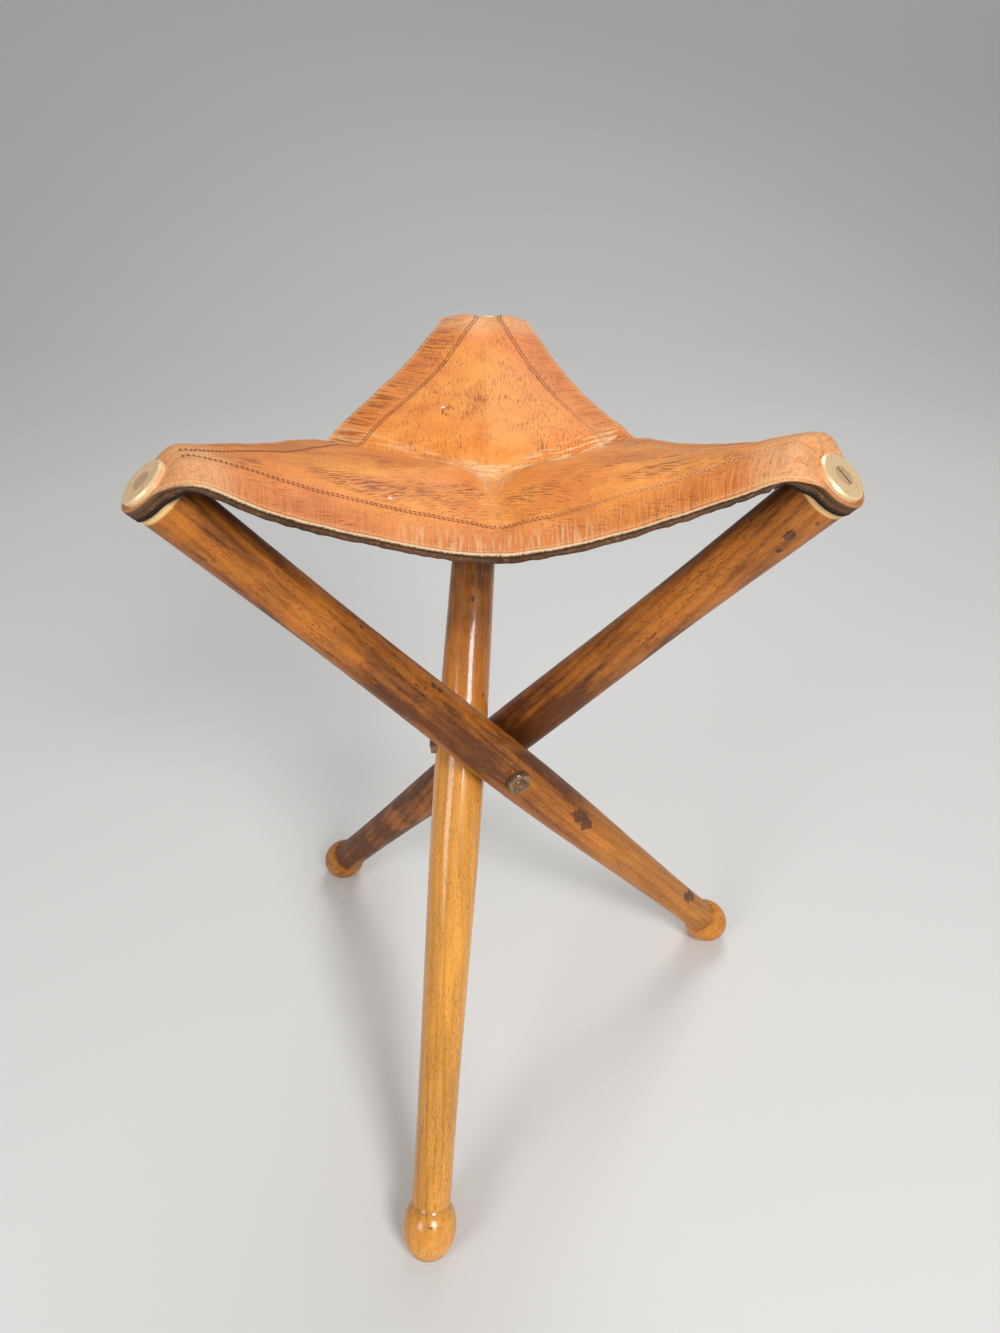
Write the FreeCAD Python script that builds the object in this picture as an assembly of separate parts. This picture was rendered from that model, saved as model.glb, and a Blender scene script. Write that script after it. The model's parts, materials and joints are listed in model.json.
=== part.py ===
import FreeCAD, Part
import math
import os

# A three-legged folding stool. Three turned legs cross and hinge on the arms of one three-way bolt,
# and a leather seat is screwed to their top ends. Millimetres, +Z up, the floor at Z = 0.

# The legs, with reaches measured along a leg from the bolt
LEG_ELEVATION = 52.1      # degrees between an opened leg and the floor
TOP_REACH = 255.0         # bolt to the top end of the wood
TOP_DIA = 26.2
END_ROUND = 2.0           # rounded rim of the top end
WAIST_REACH = 165.0       # bolt to the thinnest place of the upper half
WAIST_DIA = 25.6
BELLY_REACH = 18.0        # bolt to the thickest place, on the side of the foot
BELLY_DIA = 30.6
NECK_LENGTH = 14.7        # straight neck above the foot
NECK_DIA = 23.4
NECK_FILLET = 4.0
FOOT_REACH = 286.0        # bolt to the widest place of the foot
FOOT_DIA = 32.0
FOOT_LENGTH = 39.0
FOOT_WEAR = 0.6           # height worn flat under each foot

# The three-way bolt and its nuts
LEG_GAP = 1.7             # between the bellies of two legs where they cross
BOLT_DIA = 8.0
BOLT_GAP = 0.05           # radial, in the legs and nuts
BOLT_END_PROUD = 1.2      # bolt end past the nut
BOLT_END_CHAMFER = 0.8
SPOT_FACE_DEPTH = 2.4     # flat seat of a nut, below the belly's crest
SPOT_FACE_GAP = 0.4       # around the nut's corners
NUT_FLATS = 13.0
NUT_THICKNESS = 5.0
NUT_CHAMFER = 0.6

# The leather, from the wood outwards
PATCH_THICKNESS = 1.8
STRIP_THICKNESS = 2.2
SEAT_THICKNESS = 2.2
LAYER_GAP = 0.1           # between the seat and its edge strips
STRIP_WIDTH = 26.0
TAB_WIDTH = 54.0          # seat's width where it bends over a leg end
TAB_MARGIN = 2.6          # leather around an end disc
BEND_INNER = 6.0          # inner radius of the leather's bend over the rim of a leg end
SEAT_CENTRE_DROP = 37.0   # seat's centre below its bends
SEAT_EDGE_DROP = 38.0     # middle of a free edge below the bends
SEAT_EDGE_RADIUS = 95.0   # stool's axis to the middle of a free edge
SEAT_SLOPE = 19.0         # degrees, where the seat leaves a bend
RIDGE_POWER = 1.25        # how the seat hollows along the middle line of a corner
EDGE_POWER = 1.9          # and along its free edges

# The disc and screw on each leg end
DISC_DIA = 23.0
DISC_BEVEL = 0.9
DISC_WEB = 0.3            # disc left under the screw's head
SCREW_HEAD_DIA = 9.6
SCREW_SHANK_DIA = 5.0
SCREW_LENGTH = 42.0
SCREW_TIP = 6.0
SCREW_GAP = 0.05          # around the screw
SLOT_WIDTH = 1.2
SLOT_DEPTH = 1.1

# The corners of the seat, by the azimuth in degrees of the leg end that holds each
CORNERS = {"left": 210.0, "right": 330.0, "back": 90.0}
# The halves of the corners, with the corner and the side of its middle line that each is on
HALVES = {
    "left_front": ("left", 1),
    "left_back": ("left", -1),
    "right_back": ("right", 1),
    "right_front": ("right", -1),
    "back_left": ("back", 1),
    "back_right": ("back", -1),
}
HALF_CORNER = 60.0        # degrees from a corner to the middle of the next free edge
GRID_ALONG = 8
GRID_ACROSS = 4
FOOT_POINTS = 9

V = FreeCAD.Vector
UP = V(0, 0, 1)
ACROSS = V(0, 1, 0)
ELEVATION = math.radians(LEG_ELEVATION)
FOOT_START = math.acos(NECK_DIA / FOOT_DIA)
NECK_REACH = FOOT_REACH - FOOT_LENGTH / 2 * math.sin(FOOT_START) - NECK_LENGTH
# Distance between two legs' axes where they cross, for each unit that the axes stand off the stool's axis
CROSSING = 3 * math.sin(ELEVATION) / math.sqrt(3 * math.sin(ELEVATION) ** 2 + 0.75 * math.cos(ELEVATION) ** 2)
BOLT_OFFSET = (BELLY_DIA + LEG_GAP) / CROSSING
FOOT_SUPPORT = math.hypot(FOOT_LENGTH / 2 * math.sin(ELEVATION), FOOT_DIA / 2 * math.cos(ELEVATION))
BOLT_HEIGHT = FOOT_REACH * math.sin(ELEVATION) + FOOT_SUPPORT - FOOT_WEAR
SPOT_FACE_Y = BELLY_DIA / 2 - SPOT_FACE_DEPTH
NUT_CORNER_RADIUS = NUT_FLATS / 2 / math.cos(math.radians(30))
BOLT_REACH = BOLT_OFFSET + SPOT_FACE_Y + NUT_THICKNESS + BOLT_END_PROUD
STACK = PATCH_THICKNESS + STRIP_THICKNESS + SEAT_THICKNESS
BEND_X = END_ROUND - TOP_DIA / 2
BEND_Z = TOP_REACH - BEND_INNER
BEND_ANGLE = math.radians(90.0 - LEG_ELEVATION + SEAT_SLOPE)
SCREW_HEAD_HEIGHT = (SCREW_HEAD_DIA - SCREW_SHANK_DIA) / 2
DISC_THICKNESS = SCREW_HEAD_HEIGHT + DISC_WEB
DISC_FACE = TOP_REACH + STACK + DISC_THICKNESS


def polar(azimuth, radius, height=0.0):
    """A point from its azimuth in degrees, its distance from the stool's axis and its height."""
    angle = math.radians(azimuth)
    return V(radius * math.cos(angle), radius * math.sin(angle), height)


def leg_frame(corner):
    """Placement of a leg: +Z up the leg, +Y out along its bolt arm, its bend at the corner's azimuth."""
    bend = on_bend(BEND_INNER + STACK, BEND_ANGLE)
    bend_reach = bend.x * math.sin(ELEVATION) + bend.z * math.cos(ELEVATION)
    twist = math.degrees(math.atan2(BOLT_OFFSET, bend_reach))
    heading = polar(CORNERS[corner] - twist, 1.0)
    arm = UP.cross(heading)
    along = heading * math.cos(ELEVATION) + UP * math.sin(ELEVATION)
    outer = arm.cross(along)
    base = arm * BOLT_OFFSET + UP * BOLT_HEIGHT
    return FreeCAD.Placement(FreeCAD.Matrix(
        outer.x, arm.x, along.x, base.x,
        outer.y, arm.y, along.y, base.y,
        outer.z, arm.z, along.z, base.z,
        0, 0, 0, 1))


def placed(shape, frame):
    """A copy of a shape, moved from a leg's own frame into the stool's."""
    moved = shape.copy()
    moved.Placement = frame
    return moved


def line(start, end):
    return Part.LineSegment(start, end).toShape()


def arc(start, middle, end):
    return Part.Arc(start, middle, end).toShape()


def smooth(points, first_tangent, last_tangent):
    curve = Part.BSplineCurve()
    curve.interpolate(Points=points, InitialTangent=first_tangent, FinalTangent=last_tangent)
    return curve.toShape()


def on_bend(radius, angle):
    """A point of the bend over a leg's rim, in the leg's frame; angle 0 is straight up the leg."""
    return V(BEND_X - radius * math.sin(angle), 0, BEND_Z + radius * math.cos(angle))


def foot_point(angle):
    """A point of the foot's outline, in the leg's frame; angle 0 is at its widest place."""
    return V(FOOT_DIA / 2 * math.cos(angle), 0, -FOOT_REACH - FOOT_LENGTH / 2 * math.sin(angle))


def screw_hole():
    """The hole for an end screw, in the leg's frame."""
    return Part.makeCylinder(SCREW_SHANK_DIA / 2 + SCREW_GAP, SCREW_LENGTH, V(0, 0, DISC_FACE), UP * -1)


def leg():
    """One turned leg in its own frame, with its bolt hole, nut seat and screw hole."""
    down = V(0, 0, -1)
    rim_centre = V(TOP_DIA / 2 - END_ROUND, 0, TOP_REACH - END_ROUND)
    rim_start = rim_centre + V(0, 0, END_ROUND)
    rim_middle = rim_centre + V(1, 0, 1) * (END_ROUND / math.sqrt(2))
    rim_end = rim_centre + V(END_ROUND, 0, 0)
    neck = V(NECK_DIA / 2, 0, -NECK_REACH)
    foot_step = (math.pi / 2 + FOOT_START) / (FOOT_POINTS - 1)
    foot = [foot_point(i * foot_step - FOOT_START) for i in range(FOOT_POINTS)]
    foot_tangent = V(FOOT_DIA * math.sin(FOOT_START), 0, -FOOT_LENGTH * math.cos(FOOT_START)).normalize()
    swell = [rim_end, V(WAIST_DIA / 2, 0, WAIST_REACH), V(BELLY_DIA / 2, 0, -BELLY_REACH), neck]
    top = V(0, 0, TOP_REACH)
    outline = Part.Wire([
        line(top, rim_start),
        arc(rim_start, rim_middle, rim_end),
        smooth(swell, down, down),
        line(neck, foot[0]),
        smooth(foot, foot_tangent, V(-1, 0, 0)),
        line(foot[-1], top),
    ])
    body = Part.Face(outline).revolve(V(0, 0, 0), UP, 360)
    neck_centre = V(0, 0, foot[0].z)
    neck_ring = min(body.Edges, key=lambda e: (e.CenterOfMass - neck_centre).Length)
    body = body.makeFillet(NECK_FILLET, [neck_ring])
    bolt_hole = Part.makeCylinder(BOLT_DIA / 2 + BOLT_GAP, 2 * BELLY_DIA, ACROSS * -BELLY_DIA, ACROSS)
    nut_seat = Part.makeCylinder(NUT_CORNER_RADIUS + SPOT_FACE_GAP, BELLY_DIA, ACROSS * SPOT_FACE_Y, ACROSS)
    return body.cut([bolt_hole, nut_seat, screw_hole()])


def on_floor(shape):
    """A leg with its foot worn flat at the floor."""
    half_side = 2 * FOOT_REACH
    below = Part.makeBox(2 * half_side, 2 * half_side, FOOT_DIA, V(-half_side, -half_side, -FOOT_DIA))
    return shape.cut(below)


def three_way_bolt():
    """The bolt in the stool's frame: three arms that meet on the stool's axis."""
    arms = []
    for corner in CORNERS:
        direction = leg_frame(corner).Rotation.multVec(ACROSS)
        arm = Part.makeCylinder(BOLT_DIA / 2, BOLT_REACH, UP * BOLT_HEIGHT, direction)
        end_ring = max(arm.Edges, key=lambda e: (e.CenterOfMass - UP * BOLT_HEIGHT).Length)
        arms.append(arm.makeChamfer(BOLT_END_CHAMFER, [end_ring]))
    return arms[0].fuse(arms[1:]).removeSplitter()


def nut():
    """A hexagon nut in a leg's frame, on its seat."""
    seat = ACROSS * SPOT_FACE_Y
    corners = []
    for angle in range(0, 420, 60):
        corner = polar(angle, NUT_CORNER_RADIUS)
        corners.append(seat + V(corner.x, 0, corner.y))
    hexagon = Part.Face(Part.makePolygon(corners)).extrude(ACROSS * NUT_THICKNESS)
    turned = Part.makeCylinder(NUT_CORNER_RADIUS, NUT_THICKNESS, seat, ACROSS)
    outer_ring = max(turned.Edges, key=lambda e: e.CenterOfMass.y)
    turned = turned.makeChamfer(NUT_CHAMFER, [outer_ring])
    thread = Part.makeCylinder(BOLT_DIA / 2 + BOLT_GAP, NUT_THICKNESS, seat, ACROSS)
    return hexagon.common(turned).cut(thread)


def end_disc():
    """The brass disc on a leg end, with its bevelled rim and countersunk hole."""
    disc = Part.makeCylinder(DISC_DIA / 2, DISC_THICKNESS, UP * (DISC_FACE - DISC_THICKNESS))
    rim = max(disc.Edges, key=lambda e: (e.CenterOfMass.z, e.Length))
    disc = disc.makeChamfer(DISC_BEVEL, [rim])
    sink_base = UP * (DISC_FACE - SCREW_HEAD_HEIGHT)
    sink_low = SCREW_SHANK_DIA / 2 + SCREW_GAP
    sink_high = SCREW_HEAD_DIA / 2 + SCREW_GAP
    sink = Part.makeCone(sink_low, sink_high, SCREW_HEAD_HEIGHT, sink_base)
    return disc.cut([screw_hole(), sink])


def end_screw():
    """The slotted countersunk screw through a disc, in a leg's frame."""
    shank_radius = SCREW_SHANK_DIA / 2
    head_base = DISC_FACE - SCREW_HEAD_HEIGHT
    tip_base = DISC_FACE - SCREW_LENGTH + SCREW_TIP
    head = Part.makeCone(shank_radius, SCREW_HEAD_DIA / 2, SCREW_HEAD_HEIGHT, UP * head_base)
    shank = Part.makeCylinder(shank_radius, head_base - tip_base, UP * tip_base)
    tip = Part.makeCone(0, shank_radius, SCREW_TIP, UP * (tip_base - SCREW_TIP))
    slot_corner = V(-SCREW_HEAD_DIA / 2, -SLOT_WIDTH / 2, DISC_FACE - SLOT_DEPTH)
    slot = Part.makeBox(SCREW_HEAD_DIA, SLOT_WIDTH, SLOT_DEPTH, slot_corner)
    return head.fuse([shank, tip]).removeSplitter().cut(slot)


def tab_outline():
    """Prism of the leather's outline on a leg end: as wide as the tab at the bend, round at the tip."""
    radius = DISC_DIA / 2 + TAB_MARGIN
    bend_corner = V(BEND_X, TAB_WIDTH / 2, 0)
    touch = math.atan2(bend_corner.y, bend_corner.x) - math.acos(radius / bend_corner.Length)
    touch_point = V(radius * math.cos(touch), radius * math.sin(touch), 0)
    past_bend = V(BEND_X - TAB_WIDTH, TAB_WIDTH / 2, 0)

    def other(point):
        return V(point.x, -point.y, 0)

    outline = Part.Wire([
        line(past_bend, bend_corner),
        line(bend_corner, touch_point),
        arc(touch_point, V(radius, 0, 0), other(touch_point)),
        line(other(touch_point), other(bend_corner)),
        line(other(bend_corner), other(past_bend)),
        line(other(past_bend), past_bend),
    ])
    return Part.Face(outline).extrude(UP * 2 * TOP_REACH)


def corner_layer(below, thickness):
    """A layer of leather on a leg end that bends over the inner rim; below is what lies under it."""
    tip = DISC_DIA / 2 + TAB_MARGIN
    low = BEND_INNER + below
    high = low + thickness
    section = Part.Wire([
        line(V(tip, 0, BEND_Z + low), V(BEND_X, 0, BEND_Z + low)),
        arc(on_bend(low, 0), on_bend(low, BEND_ANGLE / 2), on_bend(low, BEND_ANGLE)),
        line(on_bend(low, BEND_ANGLE), on_bend(high, BEND_ANGLE)),
        arc(on_bend(high, BEND_ANGLE), on_bend(high, BEND_ANGLE / 2), on_bend(high, 0)),
        line(V(BEND_X, 0, BEND_Z + high), V(tip, 0, BEND_Z + high)),
        line(V(tip, 0, BEND_Z + high), V(tip, 0, BEND_Z + low)),
    ])
    blank = Part.Face(section)
    blank.translate(ACROSS * (-TAB_WIDTH / 2))
    return blank.extrude(ACROSS * TAB_WIDTH).common(tab_outline()).cut(screw_hole())


def half_points(half):
    """Bend, tab corner, seat centre and middle of the free edge of half a seat corner, on the grain side."""
    corner, side = HALVES[half]
    frame = leg_frame(corner)
    bend = frame.multVec(on_bend(BEND_INNER + STACK, BEND_ANGLE))
    tab_corner = bend + frame.Rotation.multVec(ACROSS) * (side * TAB_WIDTH / 2)
    centre = UP * (bend.z - SEAT_CENTRE_DROP)
    edge_middle = polar(CORNERS[corner] + side * HALF_CORNER, SEAT_EDGE_RADIUS, bend.z - SEAT_EDGE_DROP)
    return bend, tab_corner, centre, edge_middle


def hollowed(start, end, share, power):
    """A point on the way from start to end, in a straight line in plan and hollowing in height."""
    point = start + (end - start) * share
    point.z = end.z + (start.z - end.z) * (1 - share) ** power
    return point


def half_face(half):
    """The grain side of half a seat corner."""
    bend, tab_corner, centre, edge_middle = half_points(half)
    rows = []
    for i in range(GRID_ALONG):
        share = i / (GRID_ALONG - 1)
        ridge = hollowed(bend, centre, share, RIDGE_POWER)
        edge = hollowed(tab_corner, edge_middle, share, EDGE_POWER)
        rows.append([ridge + (edge - ridge) * (j / (GRID_ACROSS - 1)) for j in range(GRID_ACROSS)])
    surface = Part.BSplineSurface()
    surface.interpolate(rows)
    return surface.toShape()


def thickened(face, top_gap, thickness):
    """A solid below a face: its top is top_gap lower, and it is as thick as given."""
    top = face.copy()
    top.translate(UP * -top_gap)
    return top.extrude(UP * -thickness)


def edge_strip(half):
    """The strip sewn under the free edge of half a seat corner."""
    _, tab_corner, centre, edge_middle = half_points(half)
    along = V(edge_middle.x - tab_corner.x, edge_middle.y - tab_corner.y, 0).normalize()
    outward = along.cross(UP)
    if outward.dot(edge_middle - centre) < 0:
        outward = outward * -1
    start = V(tab_corner.x, tab_corner.y, 0) - along * STRIP_WIDTH
    end = V(edge_middle.x, edge_middle.y, 0) + along * STRIP_WIDTH
    side = outward * STRIP_WIDTH
    border = [start + side, end + side, end - side, start - side, start + side]
    band = Part.Face(Part.makePolygon(border)).extrude(UP * 2 * TOP_REACH)
    return thickened(half_face(half), SEAT_THICKNESS + LAYER_GAP, STRIP_THICKNESS).common(band)


def all_nodes():
    """Every piece by its name, about the stool's axis."""
    nodes = {"three_way_bolt": three_way_bolt()}
    for corner in CORNERS:
        frame = leg_frame(corner)
        nodes[f"leg_{corner}"] = on_floor(placed(leg(), frame))
        nodes[f"bolt_nut_{corner}"] = placed(nut(), frame)
        nodes[f"end_disc_{corner}"] = placed(end_disc(), frame)
        nodes[f"end_screw_{corner}"] = placed(end_screw(), frame)
        nodes[f"corner_patch_{corner}"] = placed(corner_layer(0, PATCH_THICKNESS), frame)
        nodes[f"corner_strip_{corner}"] = placed(corner_layer(PATCH_THICKNESS, STRIP_THICKNESS), frame)
        nodes[f"seat_corner_{corner}"] = placed(corner_layer(STACK - SEAT_THICKNESS, SEAT_THICKNESS), frame)
    for half in HALVES:
        nodes[f"seat_{half}"] = thickened(half_face(half), 0, SEAT_THICKNESS)
        nodes[f"edge_strip_{half}"] = edge_strip(half)
    return nodes


# The origin is on the floor under the middle of the whole stool's box
NODES = all_nodes()
BOX = Part.makeCompound(list(NODES.values())).optimalBoundingBox(False, False)
ORIGIN = V(BOX.Center.x, BOX.Center.y, BOX.ZMin)
os.makedirs("parts", exist_ok=True)
for name, shape in NODES.items():
    shape.translate(ORIGIN * -1)
    shape.exportStep(f"parts/{name}.step")
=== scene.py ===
import functools
import json
import math

import bmesh
import bpy
from mathutils import Euler, Matrix, Vector, noise
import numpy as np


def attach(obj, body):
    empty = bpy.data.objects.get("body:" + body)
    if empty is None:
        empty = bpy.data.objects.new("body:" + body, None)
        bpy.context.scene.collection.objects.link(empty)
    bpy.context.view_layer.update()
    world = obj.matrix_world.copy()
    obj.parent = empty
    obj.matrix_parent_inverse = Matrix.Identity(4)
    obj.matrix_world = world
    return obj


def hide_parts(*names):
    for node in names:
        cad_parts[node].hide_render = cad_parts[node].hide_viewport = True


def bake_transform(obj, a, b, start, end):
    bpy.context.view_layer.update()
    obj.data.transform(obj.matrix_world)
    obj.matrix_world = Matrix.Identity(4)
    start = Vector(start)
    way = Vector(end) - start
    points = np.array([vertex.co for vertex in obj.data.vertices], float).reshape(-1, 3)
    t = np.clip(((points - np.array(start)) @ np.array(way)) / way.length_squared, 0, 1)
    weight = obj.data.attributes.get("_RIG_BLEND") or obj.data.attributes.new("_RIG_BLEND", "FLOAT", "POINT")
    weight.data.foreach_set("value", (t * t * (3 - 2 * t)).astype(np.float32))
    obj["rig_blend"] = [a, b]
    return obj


# The looks of a folding stool with three turned legs and a leather seat. Metres, +Z up.

bl_info = {
    "name": "Folding Tripod Stool",
    "version": (1, 0, 0),
    "blender": (4, 5, 0),
    "location": "View3D > Sidebar > Stool",
    "description": "Leather seat, turned wood and brass finishes for a folding three-legged stool",
    "category": "Object",
}

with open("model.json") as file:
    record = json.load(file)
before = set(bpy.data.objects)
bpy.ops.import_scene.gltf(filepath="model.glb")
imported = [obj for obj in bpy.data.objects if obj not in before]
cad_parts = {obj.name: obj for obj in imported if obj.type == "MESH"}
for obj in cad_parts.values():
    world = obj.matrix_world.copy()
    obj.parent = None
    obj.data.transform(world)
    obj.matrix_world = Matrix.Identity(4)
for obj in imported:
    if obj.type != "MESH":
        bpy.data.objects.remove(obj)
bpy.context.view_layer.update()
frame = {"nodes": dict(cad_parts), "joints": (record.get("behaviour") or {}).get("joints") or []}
JOINTS = {joint["name"]: joint for joint in frame["joints"]}
NODES = frame["nodes"]

UP = Vector((0, 0, 1))
CORNERS = ("left", "right", "back")
# The halves of the seat's corners: their corner, the side of its middle line, and the free edge they end in
HALVES = {
    "left_front": ("left", 1, "front"),
    "left_back": ("left", -1, "left_side"),
    "right_back": ("right", 1, "right_side"),
    "right_front": ("right", -1, "front"),
    "back_left": ("back", 1, "left_side"),
    "back_right": ("back", -1, "right_side"),
}
# The free edges: distance from the middle of the seat, how low their middles hang below the bends, how far
# in their double rows of stitches are, how deep the valley to them is in the middle of the seat, how creased
# it is at the edge, and how pale the edge is rubbed there
EDGES = {
    "front": {
        "reach": 0.087, "drop": 0.0378, "rows": 0.0232, "hollow": 0.5, "crease": 0.1, "rubbed": 1.0},
    "left_side": {
        "reach": 0.102, "drop": 0.038, "rows": 0.0205, "hollow": 0.35, "crease": 0.6, "rubbed": 0.0},
    "right_side": {
        "reach": 0.0905, "drop": 0.0358, "rows": 0.0175, "hollow": 0.6, "crease": 1.1, "rubbed": 0.0},
}
# How each half hangs: how far it droops beside the leg end, how high it swells beside the disc, how its free
# edge falls away from the bend, how far along that edge it is softened, and how wrinkled its sewn band is
HANG = {
    "left_front": {"droop": 0.001, "knuckle": 0.003, "fall": 1.77, "soft": 0.013, "wrinkles": 0.4},
    "left_back": {"droop": 0.0045, "knuckle": 0.0, "fall": 1.05, "soft": 0.008, "wrinkles": 0.6},
    "right_back": {"droop": 0.0015, "knuckle": 0.0035, "fall": 1.5, "soft": 0.008, "wrinkles": 0.5},
    "right_front": {"droop": 0.0055, "knuckle": 0.0035, "fall": 1.61, "soft": 0.013, "wrinkles": 0.35},
    "back_left": {"droop": 0.001, "knuckle": 0.0025, "fall": 1.1, "soft": 0.004, "wrinkles": 1.0},
    "back_right": {"droop": 0.002, "knuckle": 0.0025, "fall": 1.52, "soft": 0.004, "wrinkles": 0.45},
}
# How high the leather swells between a disc and the seat
KNUCKLES = {"left": 0.001, "right": 0.0035, "back": 0.0003}


# Settings

def size_prop(name, text, default):
    return bpy.props.FloatProperty(name=name, description=text, default=default, unit="LENGTH", precision=5)


def angle_prop(name, text, degrees):
    default = math.radians(degrees)
    return bpy.props.FloatProperty(name=name, description=text, default=default, subtype="ANGLE")


def colour_prop(name, text, default):
    return bpy.props.FloatVectorProperty(
        name=name, description=text, default=default, size=3, subtype="COLOR")


def power_prop(name, text, default):
    return bpy.props.FloatProperty(name=name, description=text, default=default, unit="POWER")


class StoolLegProps(bpy.types.PropertyGroup):
    """Sizes and colours of the turned legs."""
    elevation: angle_prop("Elevation", "Angle between an opened leg and the floor", 52.1)
    bolt_offset: size_prop("Bolt offset", "From the stool's axis to a leg's axis, along a bolt arm", 0.02001)
    top_reach: size_prop("Top reach", "From the bolt to the top end of the wood", 0.255)
    neck_reach: size_prop("Neck reach", "From the bolt to the neck above the foot", 0.2727)
    sole_reach: size_prop("Sole reach", "From the bolt to the underside of the foot", 0.3055)
    golden: colour_prop("Golden wood", "Pale wood of the leg that is worn brightest", (0.94, 0.42, 0.066))
    amber: colour_prop("Amber wood", "Pale wood of the other legs", (0.68, 0.215, 0.024))
    brown: colour_prop("Brown wood", "Dark bands of the grain", (0.13, 0.036, 0.007))
    pore: colour_prop("Pores", "Dark marks, and dirt under the feet", (0.07, 0.024, 0.009))
    bare: colour_prop("Bare wood", "Wood without varnish on the rim of a leg end", (0.86, 0.56, 0.24))


class StoolSeatProps(bpy.types.PropertyGroup):
    """Sizes and colours of the leather."""
    thickness: size_prop("Thickness", "Of the seat's leather", 0.0022)
    strip_thickness: size_prop("Strip thickness", "Of the strips under the edges", 0.0022)
    patch_thickness: size_prop("Patch thickness", "Of the patches on the leg ends", 0.0018)
    layer_gap: size_prop("Layer gap", "Between the seat, its strips and the patches", 0.0001)
    tab_width: size_prop("Tab width", "Width where the seat bends over a leg end", 0.054)
    tip_radius: size_prop("Tip radius", "Round tip around an end disc", 0.0141)
    disc_radius: size_prop("Disc radius", "Radius of an end disc", 0.0115)
    bend_start: size_prop("Bend start", "From a disc's middle to the bend", 0.0111)
    bend_inner: size_prop("Bend radius", "Inside the bend", 0.006)
    slope: angle_prop("Slope", "Of the seat where it leaves a bend", 19.0)
    centre_drop: size_prop("Centre drop", "Of the middle of the seat below its bends", 0.037)
    dimple: size_prop("Dimple", "How deep the middle of the seat is pressed in", 0.0045)
    cushion: size_prop("Cushion", "How high the seat swells around its dimple", 0.003)
    crease_depth: size_prop("Crease depth", "Of the valleys to the free edges", 0.0022)
    strip_width: size_prop("Strip width", "Of the strips under the edges", 0.026)
    stitch_pitch: size_prop("Stitch pitch", "From one stitch to the next", 0.0021)
    tan: colour_prop("Tan", "Main colour of the grain side", (0.84, 0.26, 0.042))
    light_tan: colour_prop("Light tan", "Grain side where it is rubbed light", (0.97, 0.37, 0.068))
    red_tan: colour_prop("Red tan", "Grain side along the edges", (0.56, 0.15, 0.034))
    dirt: colour_prop("Dirt", "In pores and dark wrinkles", (0.19, 0.048, 0.014))
    crack: colour_prop("Crack", "Pale worn creases", (0.86, 0.56, 0.30))
    speck: colour_prop("Speck", "Pale specks on the grain side", (0.9, 0.78, 0.62))
    flesh: colour_prop("Flesh side", "Underside of the leather", (0.30, 0.16, 0.075))
    cut_edge: colour_prop("Cut edge", "Pale cut edge of the seat", (0.84, 0.62, 0.39))
    strip_colour: colour_prop("Strip", "Strips under the edges", (0.075, 0.036, 0.018))
    patch_colour: colour_prop("Patch", "Patches on the leg ends", (0.018, 0.011, 0.008))
    pale_thread: colour_prop("Pale thread", "Clean stitches", (0.74, 0.42, 0.19))
    dark_thread: colour_prop("Dark thread", "Dirty stitches", (0.20, 0.07, 0.028))


class StoolMetalProps(bpy.types.PropertyGroup):
    """Colours of the discs, screws, nuts and bolt."""
    brass: colour_prop("Brass", "Rubbed brass of the discs", (1.0, 0.72, 0.40))
    tarnish: colour_prop("Tarnish", "Dull brown on the brass, and of the bolt", (0.40, 0.22, 0.10))
    iron: colour_prop("Iron", "Browned iron of the nuts", (0.36, 0.24, 0.14))
    # On the screws this colour also paints the shade in their slots
    rust: colour_prop("Rust", "Dark rust on the iron, and dirt on the screws", (0.10, 0.045, 0.02))
    old_brass: colour_prop("Old brass", "Brown brass of the screws", (0.74, 0.50, 0.28))
    disc_face: size_prop("Disc face", "From the bolt to the outer face of a disc", 0.2638)


class StoolStageProps(bpy.types.PropertyGroup):
    """Camera, floor and lamps."""
    lens: bpy.props.FloatProperty(name="Lens", description="Focal length in millimetres", default=24.04)
    eye: bpy.props.FloatVectorProperty(
        name="Eye", description="Where the camera stands", default=(-0.02947, -0.41041, 0.59307), size=3,
        subtype="TRANSLATION", precision=5)
    pitch: angle_prop("Pitch", "How far the camera looks down", 34.76)
    heading: angle_prop("Heading", "How far the camera turns right", 2.18)
    floor: colour_prop("Floor", "Colour of the floor", (0.72, 0.715, 0.70))
    bend_start: size_prop("Backdrop start", "How far behind the stool the floor curves up", 1.4)
    bend_radius: size_prop("Backdrop curve", "Radius of the curve", 1.6)
    key: power_prop("Key lamp", "Power of the main lamp", 25.0)
    fill: power_prop("Fill lamp", "Power of the side lamp", 8.0)
    rim: power_prop("Rim lamp", "Power of the lamp behind", 13.0)
    sky: bpy.props.FloatProperty(name="Sky", description="Strength of the light all round", default=0.33)


# Shader nodes

def rgba(colour):
    return (*colour, 1.0)


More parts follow.
